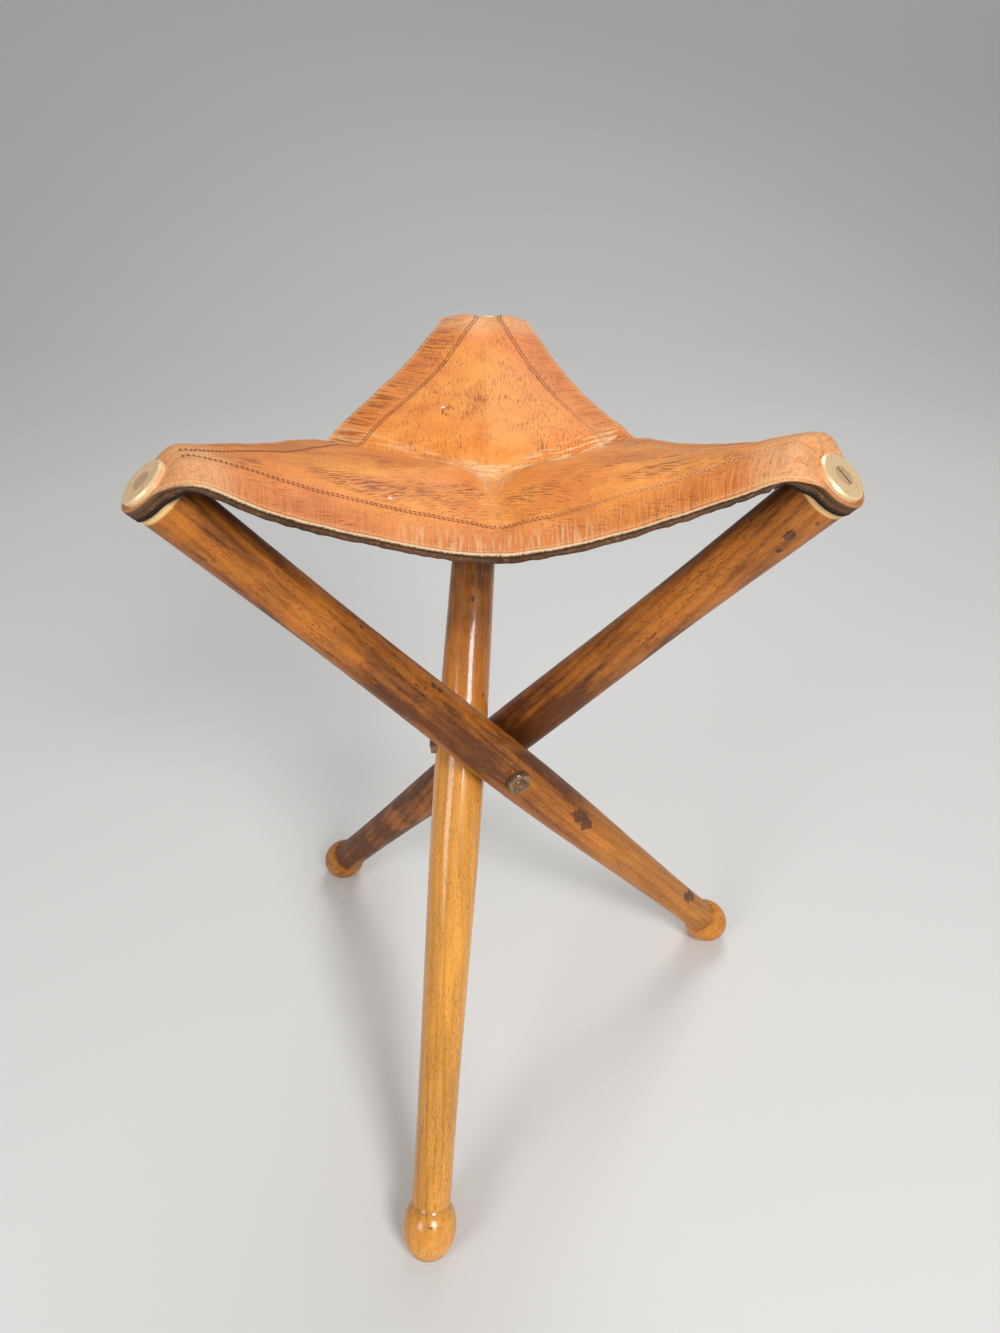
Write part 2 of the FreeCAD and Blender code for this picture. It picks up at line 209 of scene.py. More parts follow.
class Nodes:
    """A node tree that is built up node by node."""

    def __init__(self, tree):
        self.tree = tree

    def add(self, kind, values=None, **settings):
        """A new node with its settings; each input is linked to a socket or given a value."""
        node = self.tree.nodes.new(kind)
        for name, value in settings.items():
            setattr(node, name, value)
        for key, value in (values or {}).items():
            if isinstance(value, bpy.types.NodeSocket):
                self.tree.links.new(value, node.inputs[key])
            else:
                node.inputs[key].default_value = value
        return node

    def place(self):
        return self.add("ShaderNodeTexCoord").outputs["Object"]

    def attribute(self, name):
        return self.add("ShaderNodeAttribute", attribute_name=name).outputs["Fac"]

    def axes(self, vector):
        return self.add("ShaderNodeSeparateXYZ", {0: vector}).outputs

    def joined(self, x, y, z=0.0):
        return self.add("ShaderNodeCombineXYZ", {"X": x, "Y": y, "Z": z}).outputs[0]

    def moved(self, vector, location=(0, 0, 0), rotation=(0, 0, 0), scale=(1, 1, 1)):
        values = {"Vector": vector, "Location": location, "Rotation": rotation, "Scale": scale}
        return self.add("ShaderNodeMapping", values).outputs["Vector"]

    def noise(self, vector, scale, detail=2.0, roughness=0.5, distortion=0.0):
        values = {"Vector": vector, "Scale": scale, "Detail": detail, "Roughness": roughness,
                  "Distortion": distortion}
        return self.add("ShaderNodeTexNoise", values).outputs["Fac"]

    def math(self, operation, a, b=0.0, clamp=False):
        return self.add("ShaderNodeMath", {0: a, 1: b}, operation=operation, use_clamp=clamp).outputs[0]

    def product(self, first, *others):
        for other in others:
            first = self.math("MULTIPLY", first, other)
        return first

    def total(self, first, *others):
        for other in others:
            first = self.math("ADD", first, other)
        return first

    def less(self, a, b):
        return self.math("SUBTRACT", a, b)

    def steps(self, value, low, high, start=0.0, end=1.0):
        """A value that goes smoothly from start to end as the input goes from low to high."""
        values = {"Value": value, "From Min": low, "From Max": high, "To Min": start, "To Max": end}
        return self.add("ShaderNodeMapRange", values, interpolation_type="SMOOTHSTEP").outputs["Result"]

    def line(self, value, middle, outside, inside):
        """A mask that is 1 where a value is within one distance of the middle and 0 beyond another."""
        return self.steps(self.math("ABSOLUTE", self.less(value, middle)), outside, inside)

    def mix(self, share, a, b):
        """Colour a where the share is 0, colour b where it is 1."""
        return self.add("ShaderNodeMix", {0: share, 6: a, 7: b}, data_type="RGBA").outputs[2]

    def tint(self, colour, paint, *masks):
        """A colour under a coat of paint that is as thick as the masks and numbers say together."""
        return self.mix(self.product(*masks), colour, rgba(paint))

    def near(self, vector, point, radii):
        """A mask that is 1 at a point and falls to 0 at an egg of those radii around it."""
        scale = [1 / r for r in radii]
        location = [-p / r for p, r in zip(point, radii)]
        scaled = self.moved(vector, location=location, scale=scale)
        distance = self.add("ShaderNodeVectorMath", {0: scaled}, operation="LENGTH").outputs["Value"]
        return self.steps(distance, 1.0, 0.0)

    def bump(self, height, strength, distance, normal=None):
        values = {"Height": height, "Strength": strength, "Distance": distance}
        if normal is not None:
            values["Normal"] = normal
        return self.add("ShaderNodeBump", values).outputs["Normal"]

    def group(self, build, values):
        """The results of a shared effect, which is built the first time that it is asked for."""
        name = build.__name__
        if name not in bpy.data.node_groups:
            build(bpy.data.node_groups.new(name, "ShaderNodeTree"))
        return self.add("ShaderNodeGroup", values, node_tree=bpy.data.node_groups[name]).outputs

    def group_inputs(self, inputs):
        """What a shared effect is given, by name and kind."""
        for name, kind in inputs.items():
            self.tree.interface.new_socket(name, in_out="INPUT", socket_type=f"NodeSocket{kind}")
        return self.add("NodeGroupInput").outputs

    def group_outputs(self, results):
        """Hands out what a shared effect works out."""
        for name, socket in results.items():
            kind = "Color" if socket.type == "RGBA" else "Float"
            self.tree.interface.new_socket(name, in_out="OUTPUT", socket_type=f"NodeSocket{kind}")
        self.add("NodeGroupOutput", results)

    def surface(self, values):
        """The finished shader, joined to the material's output."""
        shader = self.add("ShaderNodeBsdfPrincipled", values)
        self.add("ShaderNodeOutputMaterial", {"Surface": shader.outputs[0]})


def new_finish(name):
    """A new material and its empty node tree."""
    material = bpy.data.materials.new(name)
    material.use_nodes = True
    material.node_tree.nodes.clear()
    return material, Nodes(material.node_tree)


def set_finish(node, material):
    """Gives a CAD node its material."""
    data = NODES[node].data
    data.materials.clear()
    data.materials.append(material)


def hide_grain(tree):
    """Pebbled grain, drawn-out pores and blotches of leather; the flow's X runs the way the hide is drawn."""
    nodes = Nodes(tree)
    given = nodes.group_inputs({"Vector": "Vector", "Flow": "Vector", "Pebble": "Float"})
    pebbles = nodes.add("ShaderNodeTexVoronoi", {"Vector": given["Vector"], "Scale": given["Pebble"]},
                        feature="SMOOTH_F1").outputs["Distance"]
    fine = nodes.noise(given["Vector"], 1100.0, 3.0, 0.6)
    patchy = nodes.noise(given["Vector"], 33.0, 3.0, 0.62)
    drawn = nodes.noise(nodes.moved(given["Flow"], scale=(0.16, 1.0, 1.0)), 1050.0, 2.0, 0.6, 0.25)
    lines = nodes.product(nodes.steps(drawn, 0.53, 0.63), nodes.steps(patchy, 0.42, 0.60))
    specks = nodes.noise(nodes.moved(given["Flow"], scale=(0.7, 1.0, 1.0)), 1500.0)
    dots = nodes.product(nodes.steps(specks, 0.60, 0.68), nodes.steps(patchy, 0.32, 0.50))
    nodes.group_outputs({
        "Height": nodes.total(pebbles, nodes.product(fine, 0.5)),
        "Pores": nodes.math("MAXIMUM", lines, dots),
        "Blotches": nodes.noise(given["Vector"], 26.0, 4.0, 0.62)})


def fine_scratches(tree):
    """Fine straight scratches in many directions."""
    nodes = Nodes(tree)
    given = nodes.group_inputs({"Vector": "Vector"})
    scratches = 0.0
    for turn in (0.3, 1.1, 2.0, 2.7):
        rotation = (turn, 0.7 * turn, 1.3 * turn)
        turned = nodes.moved(given["Vector"], rotation=rotation, scale=(1.0, 0.05, 0.05))
        lines = nodes.steps(nodes.noise(turned, 1600.0, 1.0), 0.66, 0.72)
        scratches = nodes.math("MAXIMUM", lines, scratches)
    nodes.group_outputs({"Scratches": scratches})


def turned_wood(tree):
    """Flame figure, fibres and flecks of a turned leg; the vector runs along the leg in Z."""
    nodes = Nodes(tree)
    given = nodes.group_inputs({
        "Vector": "Vector", "Pale": "Color", "Dark": "Color", "Figure": "Float", "Streaks": "Float",
        "Flecks": "Float", "Patina": "Float"})
    vector = given["Vector"]
    slow = nodes.noise(nodes.moved(vector, scale=(1, 1, 0.18)), 42.0)
    tilted = nodes.axes(nodes.moved(vector, rotation=(0.05, 0.07, 0.0)))
    across = nodes.total(tilted["X"], 0.024)
    ring = nodes.total(nodes.product(across, across), nodes.product(tilted["Y"], tilted["Y"]))
    waved = nodes.total(nodes.product(nodes.math("SQRT", ring), 1250.0), nodes.product(slow, 11.0))
    bands = nodes.steps(nodes.math("SINE", waved), -0.2, 1.0)
    fibres = nodes.noise(nodes.moved(vector, scale=(1, 1, 0.04)), 800.0, 3.0, 0.6)
    tone = nodes.noise(nodes.moved(vector, scale=(1, 1, 0.16)), 48.0, 4.0, 0.6)
    cloud = nodes.noise(vector, 30.0, 3.0, 0.6)
    shade = nodes.total(
        nodes.product(bands, given["Figure"]), nodes.product(nodes.steps(tone, 0.36, 0.68), given["Streaks"]),
        nodes.steps(fibres, 0.35, 0.65, 0.0, 0.14))
    # Patina and painted shade: darker in clouds as far as the ramp along the leg says
    worn = nodes.product(given["Patina"], nodes.steps(cloud, 0.32, 0.60, 0.5, 1.2))
    shade = nodes.math("ADD", shade, worn, clamp=True)
    dashes = nodes.noise(nodes.moved(vector, scale=(1, 1, 0.22)), 1700.0, 1.0)
    crowd = nodes.noise(nodes.moved(vector, scale=(1, 1, 0.5)), 70.0)
    flecks = nodes.product(nodes.steps(dashes, 0.54, 0.66), nodes.steps(crowd, 0.30, 0.65, 0.25, 1.0))
    fleck_colour = nodes.mix(0.55, given["Dark"], (0.0, 0.0, 0.0, 1.0))
    colour = nodes.mix(shade, given["Pale"], given["Dark"])
    nodes.group_outputs({
        "Color": nodes.mix(nodes.product(flecks, given["Flecks"]), colour, fleck_colour),
        "Height": nodes.less(nodes.product(fibres, 0.3), flecks),
        "Shade": shade})


# Finishes

def leg_matrix(corner):
    """A leg's own frame in the stool's: +Z up the leg, +Y out along its bolt arm."""
    props = bpy.context.scene.stool_legs
    joint = JOINTS[f"fold_{corner}"]
    arm = -Vector(joint["axis"])
    heading = arm.cross(UP)
    along = heading * math.cos(props.elevation) + UP * math.sin(props.elevation)
    outer = arm.cross(along)
    base = Vector(joint["pos_m"]) + arm * props.bolt_offset
    return Matrix.Translation(base) @ Matrix((outer, arm, along)).transposed().to_4x4()


# How bleached each leg is, how streaked, and how dark with patina and painted shade (painted shadow of the
# seat high on the back and left legs, painted shade low on the right leg), each from one reach to another,
# how strongly its figure and flecks show, how bare its foot is worn, its gloss, and its dark marks: their
# places and radii in the leg's own frame
LEG_LOOKS = {
    "left": {
        "bleached": (-0.05, -0.16, 0.0, 0.35), "streaks": (-0.03, -0.10, 0.78, 0.36),
        "patina_and_shade": (-0.11, -0.02, 0.0, 0.34), "figure": 0.14, "flecks": 0.7, "foot": 0.4,
        "roughness": 0.4, "coat": 0.05, "coat_roughness": 0.22,
        "marks": (
            ((-0.0060, 0.0133, -0.0630), (0.009, 0.009, 0.012)),
            ((-0.0048, 0.0137, -0.0735), (0.007, 0.007, 0.011)),
            ((-0.0080, 0.0092, -0.2265), (0.008, 0.008, 0.009)),
            ((-0.0105, 0.0060, -0.2340), (0.009, 0.009, 0.010)),
            ((-0.0118, 0.0072, 0.0894), (0.003, 0.003, 0.004)),
            ((-0.0118, 0.0074, 0.0840), (0.0026, 0.0026, 0.0036)),
            ((-0.0116, 0.0060, 0.1459), (0.0018, 0.0018, 0.0022)),
            ((0.0058, 0.0121, 0.1173), (0.0022, 0.0022, 0.003)),
            ((0.0050, 0.0126, 0.1075), (0.0018, 0.0018, 0.0024)))},
    "right": {
        "bleached": (-0.24, -0.26, 0.0, 0.5), "streaks": (-0.08, -0.16, 0.85, 0.4),
        "patina_and_shade": (0.16, -0.02, 0.14, 0.66), "figure": 0.20, "flecks": 0.7, "foot": 0.4,
        "roughness": 0.4, "coat": 0.06, "coat_roughness": 0.22,
        "marks": (
            ((0.0057, -0.0117, 0.2350), (0.0036, 0.0036, 0.006)),
            ((0.0081, -0.0101, 0.2257), (0.0020, 0.0020, 0.0024)),
            ((0.0085, -0.0099, 0.2466), (0.0016, 0.0016, 0.002)))},
    "back": {
        "bleached": (0.05, -0.05, 0.1, 0.95), "streaks": (-0.10, -0.25, 0.24, 0.36),
        "patina_and_shade": (0.0, 0.15, 0.0, 0.9), "figure": 0.10, "flecks": 0.42, "foot": 0.3,
        "roughness": 0.28, "coat": 0.55, "coat_roughness": 0.11,
        "marks": (
            ((-0.0081, -0.0122, 0.0308), (0.0018, 0.0018, 0.003)),
            ((-0.0135, -0.0030, 0.0879), (0.0020, 0.0020, 0.003)),
            ((-0.0115, -0.0022, -0.2793), (0.006, 0.006, 0.0016)))},
}
FOOT_FADE = 0.004           # below the neck, over which a leg's wood turns into its foot's
SOLE_HEIGHT = 0.010         # how far up the dirt under a foot reaches
RIM_BARE = (0.0038, 0.0024)     # from the top end of the wood, between which it loses its varnish
# Painted shade: a screw's slot is painted dark where it lies below the disc's face
SLOT_SHADE = (0.0002, 0.0005)    # below a disc's face, between which a screw's slot turns dark


def leg_place(nodes, corner):
    """Where a point of a leg is in the leg's own frame, and how far along it from the bolt."""
    to_leg = leg_matrix(corner).inverted()
    vector = nodes.moved(nodes.place(), location=to_leg.to_translation(), rotation=to_leg.to_euler())
    return vector, nodes.axes(vector)["Z"]


def wood_finish(corner):
    """Varnished turned wood of one leg, bare at the rim of its end and dark under its foot."""
    props = bpy.context.scene.stool_legs
    look = LEG_LOOKS[corner]
    material, nodes = new_finish(f"turned_wood_{corner}")
    vector, along = leg_place(nodes, corner)
    # The leg's patina ramp is partly painted shade: the seat's shadow high on the back and left legs, shade
    # low on the right leg
    wood = nodes.group(turned_wood, {
        "Vector": vector, "Dark": rgba(props.brown), "Figure": look["figure"], "Flecks": look["flecks"],
        "Pale": nodes.mix(nodes.steps(along, *look["bleached"]), rgba(props.amber), rgba(props.golden)),
        "Streaks": nodes.steps(along, *look["streaks"]), "Patina": nodes.steps(along, *look["patina_and_shade"])})
    blotch = nodes.noise(vector, 210.0, 4.0, 0.65)
    foot = nodes.steps(along, -props.neck_reach, -props.neck_reach - FOOT_FADE, 0.0, look["foot"])
    foot_wood = nodes.mix(nodes.steps(blotch, 0.38, 0.60), rgba(props.golden), rgba(props.amber))
    colour = nodes.mix(foot, wood["Color"], foot_wood)
    rim = nodes.steps(along, *(props.top_reach - below for below in RIM_BARE))
    colour = nodes.tint(colour, props.bare, rim, 0.9)
    sole = nodes.steps(along, SOLE_HEIGHT - props.sole_reach, -props.sole_reach)
    sole = nodes.product(sole, nodes.steps(blotch, 0.35, 0.65, 0.4, 1.0))
    colour = nodes.tint(colour, props.pore, sole, 0.75)
    colour = nodes.tint(colour, props.brown, nodes.line(along, -props.neck_reach, 0.0016, 0.0002), 0.25)
    for point, radii in look["marks"]:
        ragged = nodes.total(nodes.near(vector, point, radii), nodes.product(blotch, 1.7))
        colour = nodes.tint(colour, props.pore, nodes.steps(ragged, 1.22, 1.34), 0.85)
    scratches = nodes.group(fine_scratches, {"Vector": vector})["Scratches"]
    colour = nodes.tint(colour, props.bare, scratches, 0.08)
    rough = nodes.total(
        nodes.product(wood["Shade"], 0.10), nodes.product(nodes.math("MAXIMUM", rim, sole), 0.4),
        nodes.product(blotch, 0.18), look["roughness"] - 0.09)
    nodes.surface({
        "Base Color": colour, "Roughness": rough, "Normal": nodes.bump(wood["Height"], 0.2, 0.0002),
        "Specular IOR Level": 0.25, "Coat Weight": look["coat"], "Coat Roughness": look["coat_roughness"]})
    return material


def metal_finish(name, clean, stain, worn, roughness, shine, screw_in=None):
    """Dull metal with scratches and clouds of stain; worn is how far the stain has gone, and shine how
    metallic the clean metal looks. The slot of the screw in the given corner has painted shade: it is painted
    dark in the stain colour."""
    material, nodes = new_finish(name)
    place = nodes.place()
    cloud = nodes.noise(place, 260.0, 5.0, 0.65)
    scratches = nodes.group(fine_scratches, {"Vector": place})["Scratches"]
    stained = nodes.steps(cloud, 0.62 - 0.3 * worn, 0.78 - 0.3 * worn)
    colour = nodes.tint(rgba(clean), stain, stained, 0.4 + 0.5 * worn)
    colour = nodes.tint(colour, stain, scratches, 0.35)
    if screw_in:
        # Painted shade in the screw's slot, in the stain colour
        face = bpy.context.scene.stool_metal.disc_face
        along = leg_place(nodes, screw_in)[1]
        colour = nodes.tint(colour, stain, nodes.steps(along, *(face - below for below in SLOT_SHADE)))
    rough = nodes.total(nodes.product(stained, 0.25), nodes.product(scratches, 0.15), roughness)
    height = nodes.less(nodes.product(cloud, 0.8), scratches)
    nodes.surface({
        "Base Color": colour, "Roughness": rough,
        "Metallic": nodes.steps(stained, 0.0, 1.0, shine, shine * (1 - 0.5 * worn)),
        "Normal": nodes.bump(height, 0.2 + 0.2 * worn, 0.00015)})
    return material


# Stains on the seat with their radii and strength, and pale specks with their radius
SEAT_STAINS = (
    ((0.0551, -0.0220, 0.4381), (0.022, 0.004, 0.02), 0.85),
    ((0.0525, -0.0414, 0.4407), (0.024, 0.009, 0.02), 0.7),
    ((0.0381, -0.0239, 0.4368), (0.010, 0.004, 0.02), 0.7),
    ((-0.0400, 0.0660, 0.4312), (0.005, 0.009, 0.02), 0.9),
    ((-0.1229, -0.0548, 0.4527), (0.012, 0.008, 0.02), 0.7),
    ((-0.0769, -0.0410, 0.4365), (0.040, 0.014, 0.02), 0.65),
    ((-0.0298, -0.0234, 0.4246), (0.012, 0.012, 0.02), 0.75),
    ((-0.0022, -0.0314, 0.4255), (0.020, 0.012, 0.02), 0.7),
)
SEAT_SPECKS = (((-0.0420, 0.0700, 0.4316), 0.0017), ((-0.0636, -0.0481, 0.4325), 0.0014))


def grain_side_finish():
    """The seat's upper side: tan hide, red along the edges, with pale creases and dark pores."""
    props = bpy.context.scene.stool_seat
    material, nodes = new_finish("seat_grain_side")
    place = nodes.place()
    run = nodes.attribute("run")
    edge = nodes.attribute("edge_distance")
    flow = nodes.joined(run, nodes.attribute("across"))
    hide = nodes.group(hide_grain, {"Vector": place, "Flow": flow, "Pebble": 700.0})
    colour = nodes.mix(nodes.steps(hide["Blotches"], 0.36, 0.66), rgba(props.tan), rgba(props.light_tan))
    wide = nodes.noise(place, 17.0, 3.0, 0.6)
    band = nodes.steps(nodes.total(edge, nodes.product(wide, 0.012)), 0.034, 0.012)
    dusk = nodes.steps(nodes.noise(place, 31.0, 4.0, 0.65), 0.50, 0.70)
    mottle = nodes.steps(nodes.noise(place, 520.0, 4.0, 0.7), 0.46, 0.66)
    for mask, strength in ((band, 0.5), (dusk, 0.45), (mottle, 0.3)):
        colour = nodes.tint(colour, props.red_tan, mask, strength)
    colour = nodes.tint(colour, props.dirt, hide["Pores"], 0.6)
    # Stains drawn out along the corners, and pale specks
    strokes = nodes.noise(nodes.moved(flow, scale=(0.14, 1.0, 1.0)), 800.0, 2.0, 0.6, 0.3)
    lobe = nodes.product(nodes.steps(edge, 0.018, 0.032), nodes.steps(dusk, 0.0, 0.6, 0.25, 1.0))
    colour = nodes.tint(colour, props.dirt, nodes.steps(strokes, 0.50, 0.60), lobe, 0.45)
    drawn = nodes.steps(strokes, 0.48, 0.56)
    for point, radii, strength in SEAT_STAINS:
        stain = nodes.steps(nodes.near(place, point, radii), 0.0, 0.6)
        colour = nodes.tint(colour, props.dirt, stain, drawn, strength)
    for point, radius in SEAT_SPECKS:
        speck = nodes.near(place, point, (radius, radius, 4 * radius))
        colour = nodes.tint(colour, props.speck, nodes.steps(speck, 0.1, 0.5))
    # Short wrinkles across the sewn band along each edge, rubbed pale at the end of the front valley
    valley = nodes.attribute("valley")
    band_place = nodes.joined(nodes.attribute("edge_run"), edge)
    across = nodes.noise(nodes.moved(band_place, scale=(1, 0.10, 1)), 480.0, 1.5, 0.6, 0.35)
    across_mask = nodes.product(band, nodes.steps(hide["Blotches"], 0.30, 0.52))
    across_lines = nodes.product(nodes.steps(across, 0.49, 0.58), across_mask)
    rubbed = nodes.product(
        nodes.steps(valley, 0.055, 0.03), nodes.attribute("rubbed"), nodes.steps(edge, 0.032, 0.01))
    unrubbed = nodes.steps(rubbed, 0.4, 0.0)
    colour = nodes.tint(colour, props.dirt, across_lines, nodes.attribute("wrinkles"), unrubbed, 0.7)
    colour = nodes.tint(colour, props.crack, across_lines, rubbed, 0.5)
    # Pale creases beside the valleys, most in the middle of the seat
    apart = nodes.axes(place)
    valley_place = nodes.joined(valley, nodes.product(apart["X"], 0.09), nodes.product(apart["Y"], 0.09))
    folds = nodes.noise(valley_place, 640.0, 2.0, 0.55, 0.3)
    from_centre = nodes.attribute("from_centre")
    spread = nodes.steps(from_centre, 0.0, 0.1, 0.008, 0.017)
    near_valley = nodes.product(
        nodes.steps(nodes.math("DIVIDE", valley, spread), 1.0, 0.3),
        nodes.steps(nodes.attribute("crease"), 0.0, 1.1))
    heart = nodes.product(nodes.steps(from_centre, 0.036, 0.010), nodes.steps(valley, 0.008, 0.001))
    fold_mask = nodes.math("MAXIMUM", near_valley, heart)
    colour = nodes.tint(colour, props.crack, nodes.steps(folds, 0.49, 0.56), fold_mask, 0.8)
    colour = nodes.tint(colour, props.crack, heart, 0.25)
    # Rubbed and cracked leather on the bends over the leg ends, dirty at their tips
    bend = nodes.steps(run, 0.040, 0.016)
    thin = nodes.line(nodes.noise(place, 240.0, 4.0, 0.6, 0.5), 0.5, 0.022, 0.004)
    pale_bend = nodes.product(nodes.steps(run, 0.046, 0.026), nodes.steps(mottle, 0.0, 1.0, 0.38, 0.1))
    colour = nodes.tint(colour, props.red_tan, bend, 0.3)
    colour = nodes.tint(colour, props.crack, pale_bend)
    colour = nodes.tint(colour, props.crack, thin, bend, nodes.steps(wide, 0.38, 0.6), 0.75)
    colour = nodes.tint(colour, props.dirt, nodes.steps(run, 0.005, 0.0005, 0.0, 0.55))
    # The groove that the double row of stitches lies in, and a pressed line beside the cut edge
    groove = nodes.line(nodes.attribute("row_offset"), 0.0, 0.0018, 0.0006)
    pressed = nodes.line(edge, 0.0016, 0.0008, 0.0002)
    colour = nodes.tint(colour, props.dirt, groove, 0.2)
    colour = nodes.tint(colour, props.crack, pressed, 0.35)
    grain = nodes.less(nodes.product(hide["Height"], 0.35), hide["Pores"])
    waves = nodes.total(
        nodes.product(nodes.less(folds, 0.5), fold_mask, 2.0), nodes.product(nodes.less(across, 0.5), band))
    waves = nodes.less(waves, nodes.product(nodes.total(pressed, groove), 0.2))
    normal = nodes.bump(waves, 0.7, 0.0012, nodes.bump(grain, 0.25, 0.0003))
    rough = nodes.total(nodes.product(hide["Blotches"], 0.22), 0.38, nodes.product(fold_mask, 0.15))
    nodes.surface({"Base Color": colour, "Roughness": rough, "Normal": normal, "Specular IOR Level": 0.25})
    return material


def raw_leather_finish(name, colour, paler, roughness):
    """Rough leather of the underside, the strips or the patches; paler is how much lighter its tufts are."""
    material, nodes = new_finish(name)
    place = nodes.place()
    hide = nodes.group(hide_grain, {"Vector": place, "Flow": place, "Pebble": 900.0})
    fuzz = nodes.noise(place, 1300.0, 3.0, 0.7)
    tufts = nodes.noise(place, 480.0, 4.0, 0.75)
    pale_share = nodes.total(
        nodes.steps(hide["Blotches"], 0.3, 0.7, 0.0, 0.5), nodes.steps(tufts, 0.5, 0.66, 0.0, 0.6))
    shade = nodes.tint(rgba(colour), [c * paler for c in colour], pale_share)
    shade = nodes.tint(shade, [c * 0.35 for c in colour], nodes.steps(fuzz, 0.6, 0.35, 0.0, 0.5))
    height = nodes.total(hide["Height"], nodes.product(fuzz, 1.4))
    nodes.surface({"Base Color": shade, "Roughness": roughness, "Specular IOR Level": 0.2,
                   "Normal": nodes.bump(height, 0.6, 0.0004)})
    return material


def cut_edge_finish():
    """The seat's cut edge: pale under the grain side and darker towards the flesh side."""
    props = bpy.context.scene.stool_seat
    material, nodes = new_finish("seat_cut_edge")
    fuzz = nodes.noise(nodes.place(), 900.0, 4.0, 0.7)
    depth = nodes.total(nodes.attribute("depth"), nodes.steps(fuzz, 0.3, 0.7, -0.2, 0.2))
    at_tip = nodes.steps(nodes.attribute("run"), 0.022, 0.006)
    dark = nodes.math("MAXIMUM", nodes.steps(depth, 0.35, 0.7), at_tip)
    colour = nodes.tint(rgba(props.cut_edge), [c * 0.5 for c in props.flesh], dark)
    colour = nodes.tint(colour, props.flesh, nodes.steps(fuzz, 0.55, 0.75, 0.0, 0.6))
    nodes.surface({"Base Color": colour, "Roughness": 0.8, "Specular IOR Level": 0.2,
                   "Normal": nodes.bump(fuzz, 0.5, 0.0004)})
    return material


def thread_finish():
    """Waxed thread; the double rows are dirty on the left."""
    props = bpy.context.scene.stool_seat
    material, nodes = new_finish("thread")
    place = nodes.place()
    dirt = nodes.total(nodes.steps(nodes.axes(place)["X"], 0.06, -0.06), nodes.noise(place, 90.0, 3.0, 0.6))
    colour = nodes.tint(
        rgba(props.pale_thread), props.dark_thread, nodes.steps(dirt, 0.4, 1.1), nodes.attribute("dirty"))
    twist = nodes.noise(nodes.moved(place, rotation=(0.4, 0.3, 0.8), scale=(1, 0.3, 1)), 2600.0, 1.0)
    nodes.surface({"Base Color": colour, "Roughness": 0.62, "Normal": nodes.bump(twist, 0.5, 0.0002)})
    return material


# The leather's shape

def smoothed(share):
    share = min(max(share, 0.0), 1.0)
    return share * share * (3 - 2 * share)


NET_STEP = 0.0005           # about how far apart the rows of a half's net of points are
NET_COLUMNS = 25
FLARE_LENGTH = 0.006        # beyond the start of a bend, where a tab reaches its full width
FLARE_POWER = 1.5
RIDGE_POWER = 1.25          # how a corner's middle line falls away from its bend
EDGE_HOLLOW = 0.0025        # how far a free edge curves in between a bend and its middle
KNUCKLE_SHARE = 0.5         # of the way to the free edge, over which a knuckle takes its half's own height
KNUCKLE_RISE = 0.010        # from a disc's rim, over which the leather rises beside it
KNUCKLE_FADE = 0.05         # from a bend, over which a knuckle runs out on the seat
DROOP_START = 0.009         # from a tab's middle line to where its sides begin to droop
DROOP_POWER = 1.2
SEAT_FADE = 0.04            # from a bend, over which the seat takes its own swellings
CUSHION_RISE = 0.028        # from a valley, over which a cushion rises
CUSHION_TOP = 0.03          # from a valley, where a cushion begins to fade
CUSHION_FADE = 0.07         # over which it does so
CREASE_WIDTH = 0.010        # from a valley to where its crease is about a third as deep
DIMPLE_RADIUS = 0.013       # from the middle of the seat to where its dimple is about a third as deep
WAVES = ((0.0013, 22.0), (0.0005, 85.0))    # soft waves: how high, and about how many to the metre
SOFT_RISE = 0.008           # from a disc's middle, over which the free edge is softened more and more
SOFT_END = 0.015            # from a bend, where that begins to fade
SOFT_FADE = 0.035           # over which it does so
NORMAL_STEP = 0.0012        # how far along to each side a normal is measured
NORMAL_SHARE = 0.05         # and how far across, as a share of the way to the free edge
FACE_END = 0.003            # from a disc's middle, up to where the leather has the normal of the leg's end
FACE_FADE = 0.012           # over which it takes the measured one
STRIP_FADE = 0.012          # from a bend, over which a strip narrows to its width
WRINKLE_FADE = 0.04         # from a valley, over which the wrinkles of two halves even out
BLEND_LENGTH = 0.045        # from a bend, over which the seat folds


